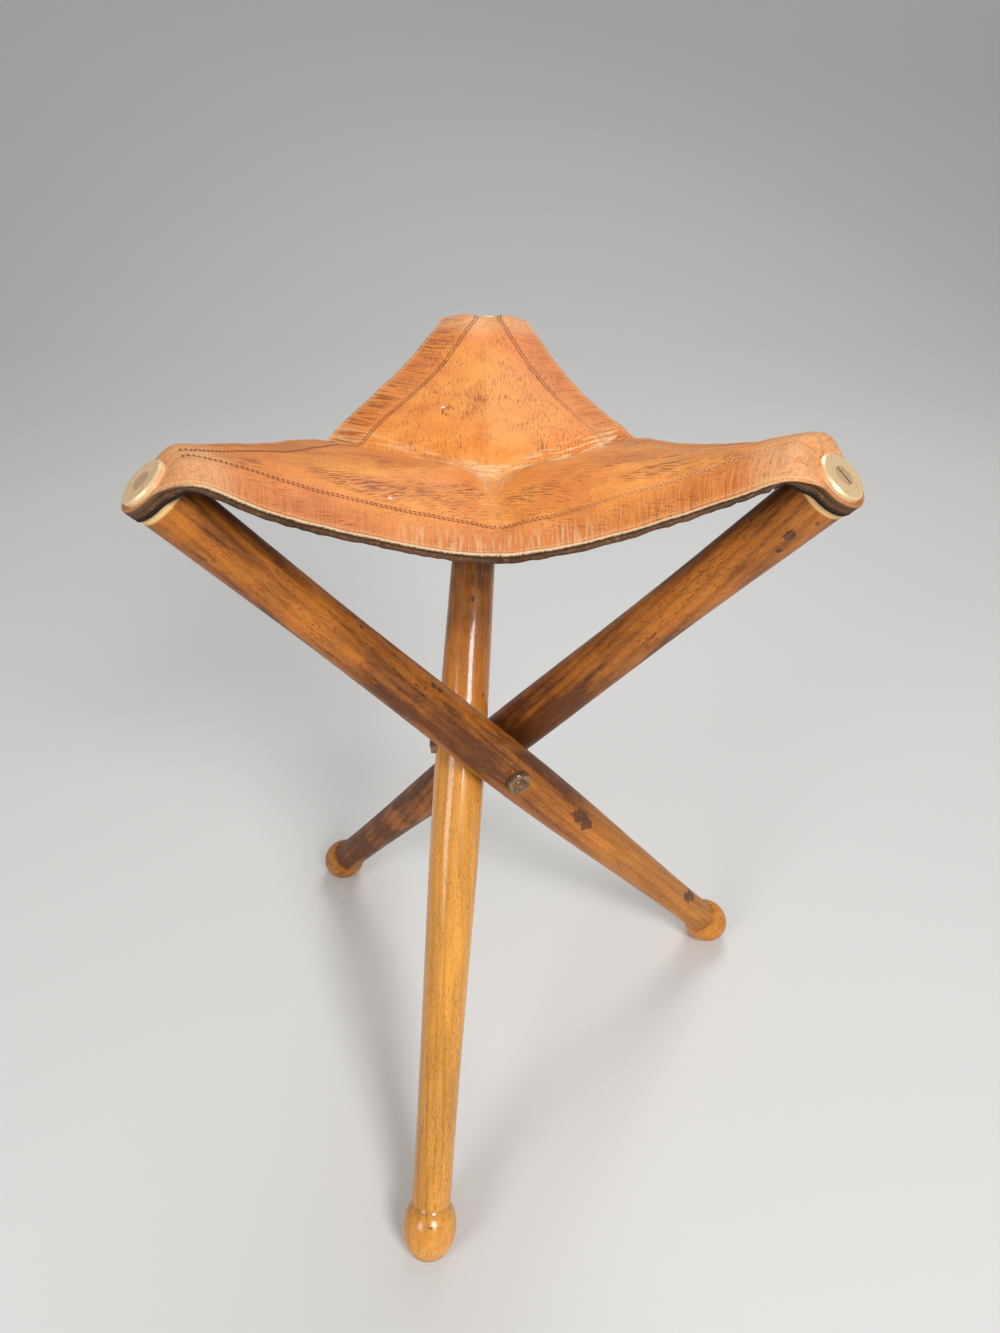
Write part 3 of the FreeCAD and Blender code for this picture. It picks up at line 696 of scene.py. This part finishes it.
class HalfSeat:
    """Half a corner of the seat. A place on it is its distance from the disc's middle along the corner's
    middle line, and its share of the way from that line to the free edge."""

    def __init__(self, name):
        props = bpy.context.scene.stool_seat
        legs = bpy.context.scene.stool_legs
        self.props = props
        self.name = name
        self.corner, self.side, self.edge_name = HALVES[name]
        self.edge = EDGES[self.edge_name]
        self.hang = HANG[name]
        self.frame = leg_matrix(self.corner)
        self.end_normal = self.frame.to_3x3() @ UP
        self.stack = props.thickness + props.strip_thickness + props.patch_thickness
        self.end_face = legs.top_reach + self.stack
        self.bend_radius = props.bend_inner + self.stack
        self.bend_angle = math.pi / 2 - legs.elevation + props.slope
        self.bend_end = props.bend_start + self.bend_radius * self.bend_angle
        self.bend = Vector(JOINTS[f"crease_{name}"]["pos_m"])
        arm = self.frame.to_3x3() @ Vector((0, 1, 0))
        self.tab_corner = self.bend + arm * (self.side * props.tab_width / 2)
        axis = Vector(JOINTS[f"fold_{self.corner}"]["pos_m"])
        self.centre = Vector((axis.x, axis.y, self.bend.z - props.centre_drop))
        outward = self.bend - self.centre
        outward.z = 0
        self.length = (self.centre - self.bend).length
        self.end = self.bend_end + self.length
        self.outward = Matrix.Rotation(self.side * math.radians(60), 3, "Z") @ outward.normalized()
        self.edge_z = self.bend.z - self.edge["drop"]
        self.net = self.soft_net()

    def half_width(self, run):
        """Half the leather's width on a leg end: round about the disc, then flaring out to the bend."""
        props = self.props
        radius = props.tip_radius
        if run <= 0:
            return math.sqrt(max(radius * radius - run * run, 0.0))
        flare = min(run / (props.bend_start + FLARE_LENGTH), 1.0) ** FLARE_POWER
        return radius + (props.tab_width / 2 - radius) * flare

    def plain(self, run, share):
        """A point of the leather without its swellings."""
        props = self.props
        across = self.side * share * self.half_width(run)
        if run <= props.bend_start:
            return self.frame @ Vector((-run, across, self.end_face))
        if run <= self.bend_end:
            angle = (run - props.bend_start) / self.bend_radius
            height = self.end_face - self.bend_radius
            return self.frame @ Vector((-props.bend_start - self.bend_radius * math.sin(angle), across,
                                        height + self.bend_radius * math.cos(angle)))
        way = min((run - self.bend_end) / self.length, 1.0)
        ridge = self.bend.lerp(self.centre, way)
        ridge.z = self.centre.z + (self.bend.z - self.centre.z) * (1 - way) ** RIDGE_POWER
        reach = (self.tab_corner - self.centre).dot(self.outward)
        edge = self.tab_corner.lerp(self.centre + self.outward * reach, way)
        hollow = EDGE_HOLLOW * math.sin(math.pi * way) ** 2
        edge += self.outward * ((self.edge["reach"] - reach) * smoothed(way) - hollow)
        point = ridge.lerp(edge, share)
        edge_z = self.edge_z + (self.bend.z - self.edge_z) * (1 - way) ** self.hang["fall"]
        point.z = ridge.z + (edge_z - ridge.z) * share * share
        return point

    def swelling(self, base, run, share):
        """How high the leather stands over its plain shape: a knuckle beside the disc, drooping sides,
        and on the seat a dimple with cushions around it, creased valleys and soft waves."""
        props = self.props
        across = share * self.half_width(run)
        from_disc = math.hypot(run, across) if run > 0 else 0.0
        middle = KNUCKLES[self.corner]
        knuckle = middle + (self.hang["knuckle"] - middle) * smoothed(share / KNUCKLE_SHARE)
        knuckle *= smoothed((from_disc - props.disc_radius) / KNUCKLE_RISE) * (1 - share * share)
        knuckle *= 1 - smoothed((run - self.bend_end) / KNUCKLE_FADE)
        overhang = max(across - DROOP_START, 0.0) / (props.tab_width / 2 - DROOP_START)
        way = max(run - self.bend_end, 0.0) / self.length
        height = knuckle - self.hang["droop"] * overhang ** 2 * max(1 - way, 0.0) ** DROOP_POWER
        on_seat = smoothed((run - self.bend_end) / SEAT_FADE)
        if on_seat > 0:
            valley = self.end - run
            from_centre = math.hypot(base.x - self.centre.x, base.y - self.centre.y)
            swell = smoothed(valley / CUSHION_RISE)
            swell *= 1 - smoothed((valley - CUSHION_TOP) / CUSHION_FADE)
            swell *= 1 - share
            crease = self.edge["hollow"] + (self.edge["crease"] - self.edge["hollow"]) * share
            crease *= math.exp(-(valley / CREASE_WIDTH) ** 2)
            height += on_seat * (props.cushion * swell - props.crease_depth * crease)
            height -= on_seat * props.dimple * math.exp(-(from_centre / DIMPLE_RADIUS) ** 2)
            height += on_seat * sum(high * noise.noise(base * count) for high, count in WAVES)
        return height

    def soft_net(self):
        """Rows of points of the grain side, with their free edges softened where the leather bends."""
        first = -self.props.tip_radius
        last_row = round((self.end - first) / NET_STEP)
        self.step = (self.end - first) / last_row
        runs = [first + self.step * i for i in range(last_row + 1)]
        shares = [j / (NET_COLUMNS - 1) for j in range(NET_COLUMNS)]
        plain = [[self.plain(run, share) for share in shares] for run in runs]
        raised = []
        for i, run in enumerate(runs):
            before, after = plain[max(i - 1, 0)], plain[min(i + 1, last_row)]
            row = []
            for j, share in enumerate(shares):
                normal = self.end_normal
                if run > self.props.bend_start:
                    across = plain[i][min(j + 1, NET_COLUMNS - 1)] - plain[i][max(j - 1, 0)]
                    normal = (after[j] - before[j]).cross(across).normalized() * -self.side
                row.append(plain[i][j] + normal * self.swelling(plain[i][j], run, share))
            raised.append(row)
        net = []
        for i, run in enumerate(runs):
            soft = smoothed(run / SOFT_RISE) * (1 - smoothed((run - self.bend_end - SOFT_END) / SOFT_FADE))
            row = []
            for j, share in enumerate(shares):
                window = min(int(self.hang["soft"] / self.step * soft * share * share), i, last_row - i)
                total = Vector()
                for k in range(-window, window + 1):
                    total += raised[i + k][j] * (window + 1 - abs(k))
                row.append(total / (window + 1) ** 2)
            net.append(row)
        return net

    def point(self, run, share):
        """A point of the grain side."""
        row = (run + self.props.tip_radius) / self.step
        column = share * (NET_COLUMNS - 1)
        i = min(max(int(row), 0), len(self.net) - 2)
        j = min(max(int(column), 0), NET_COLUMNS - 2)
        low = self.net[i][j].lerp(self.net[i][j + 1], column - j)
        high = self.net[i + 1][j].lerp(self.net[i + 1][j + 1], column - j)
        return low.lerp(high, row - i)

    def normal(self, run, share):
        """Upwards from the grain side."""
        low, high = max(run - NORMAL_STEP, -self.props.tip_radius), min(run + NORMAL_STEP, self.end)
        left, right = max(share - NORMAL_SHARE, 0.0), min(share + NORMAL_SHARE, 1.0)
        across = self.point(run, right) - self.point(run, left)
        normal = (self.point(high, share) - self.point(low, share)).cross(across) * -self.side
        measured = smoothed((run - FACE_END) / FACE_FADE)
        return self.end_normal.lerp(normal.normalized(), measured).normalized()

    def width(self, run):
        """From the middle line to the free edge."""
        if run <= self.bend_end:
            return self.half_width(run)
        return (self.plain(run, 1.0) - self.plain(run, 0.0)).length

    def valleys(self, place):
        """Distances from the valley to the half's own free edge and from the corner's other valley."""
        flat = place - self.centre
        flat.z = 0
        distances = []
        for turn in (0, -self.side * math.radians(120)):
            outward = Matrix.Rotation(turn, 3, "Z") @ self.outward
            distances.append((flat - outward * max(flat.dot(outward), 0.0)).length)
        return distances

    def shared(self, key, place):
        """A number of the free edge, going over into the other edge's towards the corner's middle line."""
        own, other = self.valleys(place)
        edges = {edge for corner, _, edge in HALVES.values() if corner == self.corner}
        beside, = edges - {self.edge_name}
        share = own / max(own + other, 1e-6)
        return self.edge[key] * (1 - share) + EDGES[beside][key] * share

    def wrinkles(self, run):
        """How wrinkled the sewn band is, going over into the next half's at the valley."""
        beside = next(key for key, half in HALVES.items() if half[2] == self.edge_name and key != self.name)
        mean = (self.hang["wrinkles"] + HANG[beside]["wrinkles"]) / 2
        return mean + (self.hang["wrinkles"] - mean) * smoothed((self.end - run) / WRINKLE_FADE)

    def strip_share(self, run):
        """Where the strip under the free edge starts, as a share of the way to that edge."""
        inner = max(1 - self.props.strip_width / self.width(run), 0.0)
        return inner * smoothed((run - self.bend_end) / STRIP_FADE)

    def bends(self, piece):
        """Lets a piece bend from the leg's end into the folding half of the seat."""
        into = self.centre - self.bend
        into.z = 0
        end = self.bend + into.normalized() * BLEND_LENGTH
        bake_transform(piece, f"leg_{self.corner}", f"half_{self.name}", start=self.bend, end=end)


@functools.lru_cache(maxsize=None)
def half_seat(name):
    """A half of the seat, worked out once."""
    return HalfSeat(name)


def seat_runs(half, tab_rows, bend_rows, seat_rows):
    """Distances from the disc's middle at which a half of the seat has its rows."""
    props = half.props
    runs = [-props.tip_radius * math.cos(math.pi / 2 * i / tab_rows) for i in range(tab_rows)]
    runs += [props.bend_start * i / tab_rows for i in range(tab_rows)]
    runs += [props.bend_start + (half.bend_end - props.bend_start) * i / bend_rows for i in range(bend_rows)]
    runs += [half.bend_end + half.length * i / seat_rows for i in range(seat_rows + 1)]
    return runs


def grid(rows, columns, layers=()):
    """A flat grid with those layers of numbers, and its vertices by row and column."""
    mesh = bmesh.new()
    for layer in layers:
        mesh.verts.layers.float.new(layer)
    bmesh.ops.create_grid(mesh, x_segments=rows - 1, y_segments=columns - 1, size=1.0)
    table = {}
    for vertex in mesh.verts:
        row = round((vertex.co.x + 1) / 2 * (rows - 1))
        column = round((vertex.co.y + 1) / 2 * (columns - 1))
        table[row, column] = vertex
    return mesh, table


def give_thickness(mesh, inward):
    """Makes a sheet a closed shell; inward gives how each vertex of its upper side goes to the lower."""
    upper_faces = list(mesh.faces)
    depths = {tuple(vertex.co): depth for vertex, depth in inward.items()}
    made = bmesh.ops.extrude_face_region(mesh, geom=upper_faces, use_keep_orig=True)
    depth_layer = mesh.verts.layers.float.get("depth")
    for item in made["geom"]:
        if isinstance(item, bmesh.types.BMVert):
            item.co += depths[tuple(item.co)]
            if depth_layer is not None:
                item[depth_layer] = 1.0
    bmesh.ops.recalc_face_normals(mesh, faces=list(mesh.faces))
    return upper_faces


def finish_piece(name, mesh, materials):
    """A new object from a finished bmesh."""
    data = bpy.data.meshes.new(name)
    mesh.to_mesh(data)
    mesh.free()
    for material in materials:
        data.materials.append(material)
    for polygon in data.polygons:
        polygon.use_smooth = True
    piece = bpy.data.objects.new(name, data)
    bpy.context.scene.collection.objects.link(piece)
    return piece


def shared_place(half, row, column, last_row):
    """What names a vertex that neighbouring halves share, or nothing."""
    if row == last_row and column == 0:
        return "centre"
    if row == last_row:
        return half.edge_name, column
    if column == 0:
        return half.corner, "middle", row
    return None


# What the seat's material reads: distances along and across a corner's middle line, from the free edge and
# along it, from the double row of stitches, from the valleys and from the seat's middle, how strongly the
# leather is creased, rubbed and wrinkled there, and how far through the leather a point is
SEAT_LAYERS = ("run", "across", "edge_distance", "edge_run", "row_offset", "valley", "from_centre", "crease",
               "rubbed", "wrinkles", "depth")
VALLEY_ROUNDING = 0.02      # over which the creases beside one valley turn into those beside the next
ROW_GAP = 0.0018            # from one row of the double row of stitches to the other
# Rows on a tab's tip and again behind it, round its bend, and on the seat
SEAT_ROWS = (10, 14, 96)
STRIP_ROWS = (8, 12, 60)
SEAT_COLUMNS = 44
STRIP_COLUMNS = 12
PATCH_ROWS, PATCH_COLUMNS = 30, 24
TIP_SHARE = 0.985           # how much of the seat's tip the strips and patches reach under
RAGGED = (0.0006, 0.0009)   # how far a strip stands out under the free edge, and how unevenly
RAGGED_COUNT = 240.0        # about how many such waves to the metre
NEAR_EDGE = 0.94            # share of the way to the free edge, from where the way outwards is measured
PATCH_END = 0.001           # how far a patch stops short of the bend's end


def build_seat_halves():
    """The six halves of the seat as closed shells whose upper sides run on into each other."""
    props = bpy.context.scene.stool_seat
    built, places, normals = [], {}, {}
    for name in HALVES:
        half = half_seat(name)
        runs = seat_runs(half, *SEAT_ROWS)
        mesh, table = grid(len(runs), SEAT_COLUMNS, SEAT_LAYERS)
        layers = {key: mesh.verts.layers.float[key] for key in SEAT_LAYERS}
        for (row, column), vertex in table.items():
            run, share = runs[row], column / (SEAT_COLUMNS - 1)
            vertex.co = half.point(run, share)
            width = half.width(run)
            near, far = sorted(half.valleys(vertex.co))
            rounding = max(VALLEY_ROUNDING - (far - near), 0.0) / VALLEY_ROUNDING
            numbers = {
                "run": run, "across": half.side * share * width, "edge_distance": (1 - share) * width,
                "edge_run": run if half.side > 0 else 2 * half.end - run,
                "row_offset": (1 - share) * width - half.edge["rows"] - ROW_GAP / 2,
                "valley": near - rounding * rounding * VALLEY_ROUNDING / 4,
                "from_centre": (vertex.co - half.centre).length, "crease": half.shared("crease", vertex.co),
                "rubbed": half.shared("rubbed", vertex.co), "wrinkles": half.wrinkles(run)}
            for layer, number in numbers.items():
                vertex[layers[layer]] = number
            key = shared_place(half, row, column, len(runs) - 1)
            if key is not None:
                places.setdefault(key, []).append(vertex.co.copy())
        built.append((half, mesh, table, len(runs) - 1))
    for half, mesh, table, last in built:
        for (row, column), vertex in table.items():
            key = shared_place(half, row, column, last)
            if key is not None:
                vertex.co = sum(places[key], Vector()) / len(places[key])
        mesh.normal_update()
        if sum(face.normal.z for face in mesh.faces) < 0:
            bmesh.ops.reverse_faces(mesh, faces=list(mesh.faces))
            mesh.normal_update()
        for (row, column), vertex in table.items():
            key = shared_place(half, row, column, last)
            if key is not None:
                normals[key] = normals.get(key, Vector()) + vertex.normal
    grain = grain_side_finish()
    flesh = raw_leather_finish("seat_flesh_side", props.flesh, 1.3, 0.85)
    cut = cut_edge_finish()
    pieces = []
    for half, mesh, table, last in built:
        upward = {}
        for (row, column), vertex in table.items():
            key = shared_place(half, row, column, last)
            upward[vertex] = (normals[key] if key is not None else vertex.normal).normalized()
        tips = [table[0, column] for column in range(SEAT_COLUMNS)]
        kept = upward[table[1, 0]]
        bmesh.ops.pointmerge(mesh, verts=tips, merge_co=tips[0].co)
        upward = {v: upward.get(v, kept) for v in mesh.verts}
        by_place = {tuple(v.co): n for v, n in upward.items()}
        upper = set(give_thickness(mesh, {v: -n * props.thickness for v, n in upward.items()}))
        edge_layer = mesh.verts.layers.float["edge_distance"]
        for face in mesh.faces:
            on_edge = all(v[edge_layer] < 1e-6 for v in face.verts)
            face.material_index = 0 if face in upper else 2 if on_edge else 1
        mesh.normal_update()
        piece = finish_piece(f"seat_leather_{half.name}", mesh, [grain, flesh, cut])
        set_normals(piece, by_place)
        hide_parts(f"seat_{half.name}", f"seat_corner_{half.corner}")
        half.bends(piece)
        pieces.append((half, piece))
    return pieces


def set_normals(piece, by_place):
    """Shades a half's upper side as part of the whole seat."""
    data = piece.data
    given = []
    for polygon in data.polygons:
        for index in polygon.vertices:
            known = by_place.get(tuple(data.vertices[index].co), Vector())
            given.append(known if polygon.material_index == 0 else Vector())
    edges = {}
    for polygon in data.polygons:
        for key in polygon.edge_keys:
            edges.setdefault(key, set()).add(polygon.material_index == 0)
    sharp = data.attributes.new("sharp_edge", "BOOLEAN", "EDGE")
    for edge in data.edges:
        sharp.data[edge.index].value = len(edges[edge.key]) == 2
    data.normals_split_custom_set(given)


def build_strips():
    """The strips sewn under the free edges, which run out under the seat's corners."""
    props = bpy.context.scene.stool_seat
    material = raw_leather_finish("strip_leather", props.strip_colour, 4.0, 0.9)
    for name in HALVES:
        half = half_seat(name)
        runs = seat_runs(half, *STRIP_ROWS)
        runs[0] = -props.tip_radius * TIP_SHARE
        mesh, table = grid(len(runs), STRIP_COLUMNS)
        inward = {}
        for (row, column), vertex in table.items():
            run = runs[row]
            start = half.strip_share(run)
            share = start + (1 - start) * column / (STRIP_COLUMNS - 1)
            down = -half.normal(run, share)
            vertex.co = half.point(run, share) + down * (props.thickness + props.layer_gap)
            if column == STRIP_COLUMNS - 1 and run > half.bend_end:
                ragged = RAGGED[1] * noise.noise(vertex.co * RAGGED_COUNT) + RAGGED[0]
                vertex.co += (half.point(run, 1.0) - half.point(run, NEAR_EDGE)).normalized() * ragged
            inward[vertex] = down * (props.strip_thickness - props.layer_gap)
        give_thickness(mesh, inward)
        piece = finish_piece(f"strip_{name}", mesh, [material])
        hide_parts(f"edge_strip_{name}", f"corner_strip_{half.corner}")
        half.bends(piece)


def build_patches():
    """The dark patches between the strips and the wood."""
    props = bpy.context.scene.stool_seat
    material = raw_leather_finish("patch_leather", props.patch_colour, 1.8, 0.8)
    depth = props.thickness + props.strip_thickness
    for corner in CORNERS:
        sides = [half_seat(name) for name in HALVES if HALVES[name][0] == corner]
        first, last = -props.tip_radius * TIP_SHARE, sides[0].bend_end - PATCH_END
        mesh, table = grid(PATCH_ROWS, PATCH_COLUMNS)
        inward = {}
        for (row, column), vertex in table.items():
            run = first + (last - first) * row / (PATCH_ROWS - 1)
            share = 2 * column / (PATCH_COLUMNS - 1) - 1
            half = sides[share < 0]
            down = -half.normal(run, abs(share))
            vertex.co = half.point(run, abs(share)) + down * depth
            inward[vertex] = down * (props.patch_thickness - props.layer_gap)
        give_thickness(mesh, inward)
        piece = finish_piece(f"end_patch_{corner}", mesh, [material])
        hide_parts(f"corner_patch_{corner}")
        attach(piece, f"leg_{corner}")


SEWN_START = 0.004          # how far before the bend's end a row begins at the earliest
SEWN_ROOM = 0.001           # the least leather between a row's start and the corner's middle line
SEWN_STEP = 0.001           # between places at which a row's direction is measured
RIM_INSET = 0.0029          # from the cut edge to the fine row beside it


def stitch_rows(half, pitch):
    """Each row's distance from the free edge, its pitch, its stitches' length and radius, and its dirt."""
    yield RIM_INSET, 0.75 * pitch, 0.45 * pitch, 0.00026, 0.25
    for inset in (half.edge["rows"], half.edge["rows"] + ROW_GAP):
        yield inset, pitch, 0.65 * pitch, 0.00036, 1.0


def sew_row(half, inset, pitch, length, radius):
    """A mesh with one row of stitches."""
    row = bmesh.new()
    run = half.bend_end - SEWN_START
    while half.width(run) < inset + SEWN_ROOM:
        run += pitch
    while run < half.end - pitch / 2:
        share = 1 - inset / half.width(run)
        place = half.point(run, share)
        ahead = half.point(run + SEWN_STEP, 1 - inset / half.width(run + SEWN_STEP)) - place
        normal = half.normal(run, share)
        across = normal.cross(ahead).normalized()
        turn = Matrix((ahead.normalized(), across, normal)).transposed().to_4x4()
        size = Matrix.Diagonal((length / 2, radius, radius * 0.8, 1.0))
        sunk = Matrix.Translation(place + normal * radius * 0.15)
        bmesh.ops.create_uvsphere(row, u_segments=6, v_segments=5, radius=1.0, matrix=sunk @ turn @ size)
        run += pitch * SEWN_STEP / ahead.length
    return row


def build_stitches(pieces):
    """Rows of stitches along the free edges, one object for each half of a corner."""
    material = thread_finish()
    for half, leather in pieces:
        mesh = bmesh.new()
        for inset, pitch, length, radius, dirt in stitch_rows(half, half.props.stitch_pitch):
            row = sew_row(half, inset, pitch, length, radius)
            dirty = row.verts.layers.float.new("dirty")
            for vertex in row.verts:
                vertex[dirty] = dirt
            sewn = bpy.data.meshes.new("sewn_row")
            row.to_mesh(sewn)
            row.free()
            mesh.from_mesh(sewn)
            bpy.data.meshes.remove(sewn)
        piece = finish_piece(f"stitches_{half.name}", mesh, [material])
        half.bends(piece)


# Operators

FLOOR_FRONT = -4.0          # where the floor begins
FLOOR_STEP = 0.3            # from one of its rows to the next
FLOOR_ROWS = 40
FLOOR_WIDTH = 16.0
# Where each lamp stands, and how wide it is
LAMPS = {"key": ((0.7, -1.4, 1.45), 0.6), "fill": ((-1.1, -1.1, 1.0), 0.6), "rim": ((0.35, 1.2, 1.8), 0.9)}
LAMP_AIM = Vector((0, 0, 0.25))


class STOOL_OT_stage(bpy.types.Operator):
    """Make the floor, the lamps and the camera."""
    bl_idname = "stool.stage"
    bl_label = "Stage"

    def execute(self, context):
        props = context.scene.stool_stage
        scene = context.scene
        scene.view_settings.view_transform = "Standard"
        # A floor that curves up into a backdrop behind the stool
        mesh, table = grid(FLOOR_ROWS, 2)
        for (row, column), vertex in table.items():
            way = FLOOR_FRONT + FLOOR_STEP * row
            angle = min(max(way - props.bend_start, 0.0) / props.bend_radius, math.pi / 2)
            rise = max(way - props.bend_start - props.bend_radius * math.pi / 2, 0.0)
            vertex.co.x = FLOOR_WIDTH * (column - 0.5)
            vertex.co.y = min(way, props.bend_start) + props.bend_radius * math.sin(angle)
            vertex.co.z = props.bend_radius * (1 - math.cos(angle)) + rise
        material, nodes = new_finish("floor")
        nodes.surface({"Base Color": rgba(props.floor), "Roughness": 0.6})
        floor = finish_piece("floor", mesh, [material])
        for name, (place, size) in LAMPS.items():
            self.lamp(f"{name}_lamp", place, getattr(props, name), size)
        world = bpy.data.worlds.new("studio")
        world.use_nodes = True
        background = world.node_tree.nodes["Background"]
        background.inputs["Color"].default_value = (1.0, 1.0, 1.0, 1.0)
        background.inputs["Strength"].default_value = props.sky
        scene.world = world
        camera_data = bpy.data.cameras.new("camera")
        camera_data.lens = props.lens
        camera_data.sensor_width = 36.0
        camera_data.clip_start = 0.01
        camera = bpy.data.objects.new("camera", camera_data)
        camera.location = props.eye
        camera.rotation_euler = Euler((math.pi / 2 - props.pitch, 0.0, -props.heading))
        scene.collection.objects.link(camera)
        scene.camera = camera
        return {"FINISHED"}

    def lamp(self, name, place, power, size):
        """A square lamp that points at the middle of the stool."""
        data = bpy.data.lights.new(name, "AREA")
        data.energy = power
        data.size = size
        lamp = bpy.data.objects.new(name, data)
        lamp.location = place
        lamp.rotation_euler = (LAMP_AIM - Vector(place)).to_track_quat("-Z", "Y").to_euler()
        bpy.context.scene.collection.objects.link(lamp)


class STOOL_OT_legs(bpy.types.Operator):
    """Give the turned legs their wood."""
    bl_idname = "stool.legs"
    bl_label = "Legs"

    def execute(self, context):
        for corner in CORNERS:
            set_finish(f"leg_{corner}", wood_finish(corner))
        return {"FINISHED"}


class STOOL_OT_metal(bpy.types.Operator):
    """Give the discs, screws, nuts and bolt their metal."""
    bl_idname = "stool.metal"
    bl_label = "Metal"

    def execute(self, context):
        props = context.scene.stool_metal
        disc = metal_finish("disc_brass", props.brass, props.tarnish, 0.2, 0.36, 0.5)
        nut = metal_finish("nut_iron", props.iron, props.rust, 0.6, 0.42, 0.7)
        bolt = metal_finish("bolt_iron", props.tarnish, props.rust, 0.9, 0.4, 0.8)
        set_finish("three_way_bolt", bolt)
        for corner in CORNERS:
            set_finish(f"end_disc_{corner}", disc)
            # The screw's slot gets painted shade in the rust colour
            screw = metal_finish(f"screw_brass_{corner}", props.old_brass, props.rust, 0.2, 0.42, 0.5, corner)
            set_finish(f"end_screw_{corner}", screw)
            set_finish(f"bolt_nut_{corner}", nut)
        return {"FINISHED"}


class STOOL_OT_seat(bpy.types.Operator):
    """Make the leather seat and its stitches."""
    bl_idname = "stool.seat"
    bl_label = "Seat"

    def execute(self, context):
        build_stitches(build_seat_halves())
        return {"FINISHED"}


class STOOL_OT_strips(bpy.types.Operator):
    """Make the strips under the seat's edges."""
    bl_idname = "stool.strips"
    bl_label = "Edge strips"

    def execute(self, context):
        build_strips()
        return {"FINISHED"}


class STOOL_OT_patches(bpy.types.Operator):
    """Make the patches on the leg ends."""
    bl_idname = "stool.patches"
    bl_label = "End patches"

    def execute(self, context):
        build_patches()
        return {"FINISHED"}


class STOOL_PT_panel(bpy.types.Panel):
    """Lists the stool's operators and settings."""
    bl_idname = "STOOL_PT_panel"
    bl_label = "Folding stool"
    bl_space_type = "VIEW_3D"
    bl_region_type = "UI"
    bl_category = "Stool"

    def draw(self, context):
        for operator in OPERATORS:
            self.layout.operator(operator.bl_idname)
        for group in SETTINGS:
            box = self.layout.box()
            settings = getattr(context.scene, group)
            for name in settings.bl_rna.properties.keys():
                if name not in {"rna_type", "name"}:
                    box.prop(settings, name)


OPERATORS = (STOOL_OT_stage, STOOL_OT_legs, STOOL_OT_metal, STOOL_OT_seat, STOOL_OT_strips, STOOL_OT_patches)
SETTINGS = {
    "stool_legs": StoolLegProps,
    "stool_seat": StoolSeatProps,
    "stool_metal": StoolMetalProps,
    "stool_stage": StoolStageProps,
}
CLASSES = (*SETTINGS.values(), *OPERATORS, STOOL_PT_panel)


def register():
    for item in CLASSES:
        bpy.utils.register_class(item)
    for name, group in SETTINGS.items():
        setattr(bpy.types.Scene, name, bpy.props.PointerProperty(type=group))


def unregister():
    for name in SETTINGS:
        delattr(bpy.types.Scene, name)
    for item in reversed(CLASSES):
        bpy.utils.unregister_class(item)


def main():
    register()
    bpy.ops.stool.stage()
    bpy.ops.stool.legs()
    bpy.ops.stool.metal()
    bpy.ops.stool.seat()
    bpy.ops.stool.strips()
    bpy.ops.stool.patches()


if __name__ == "__main__":
    main()
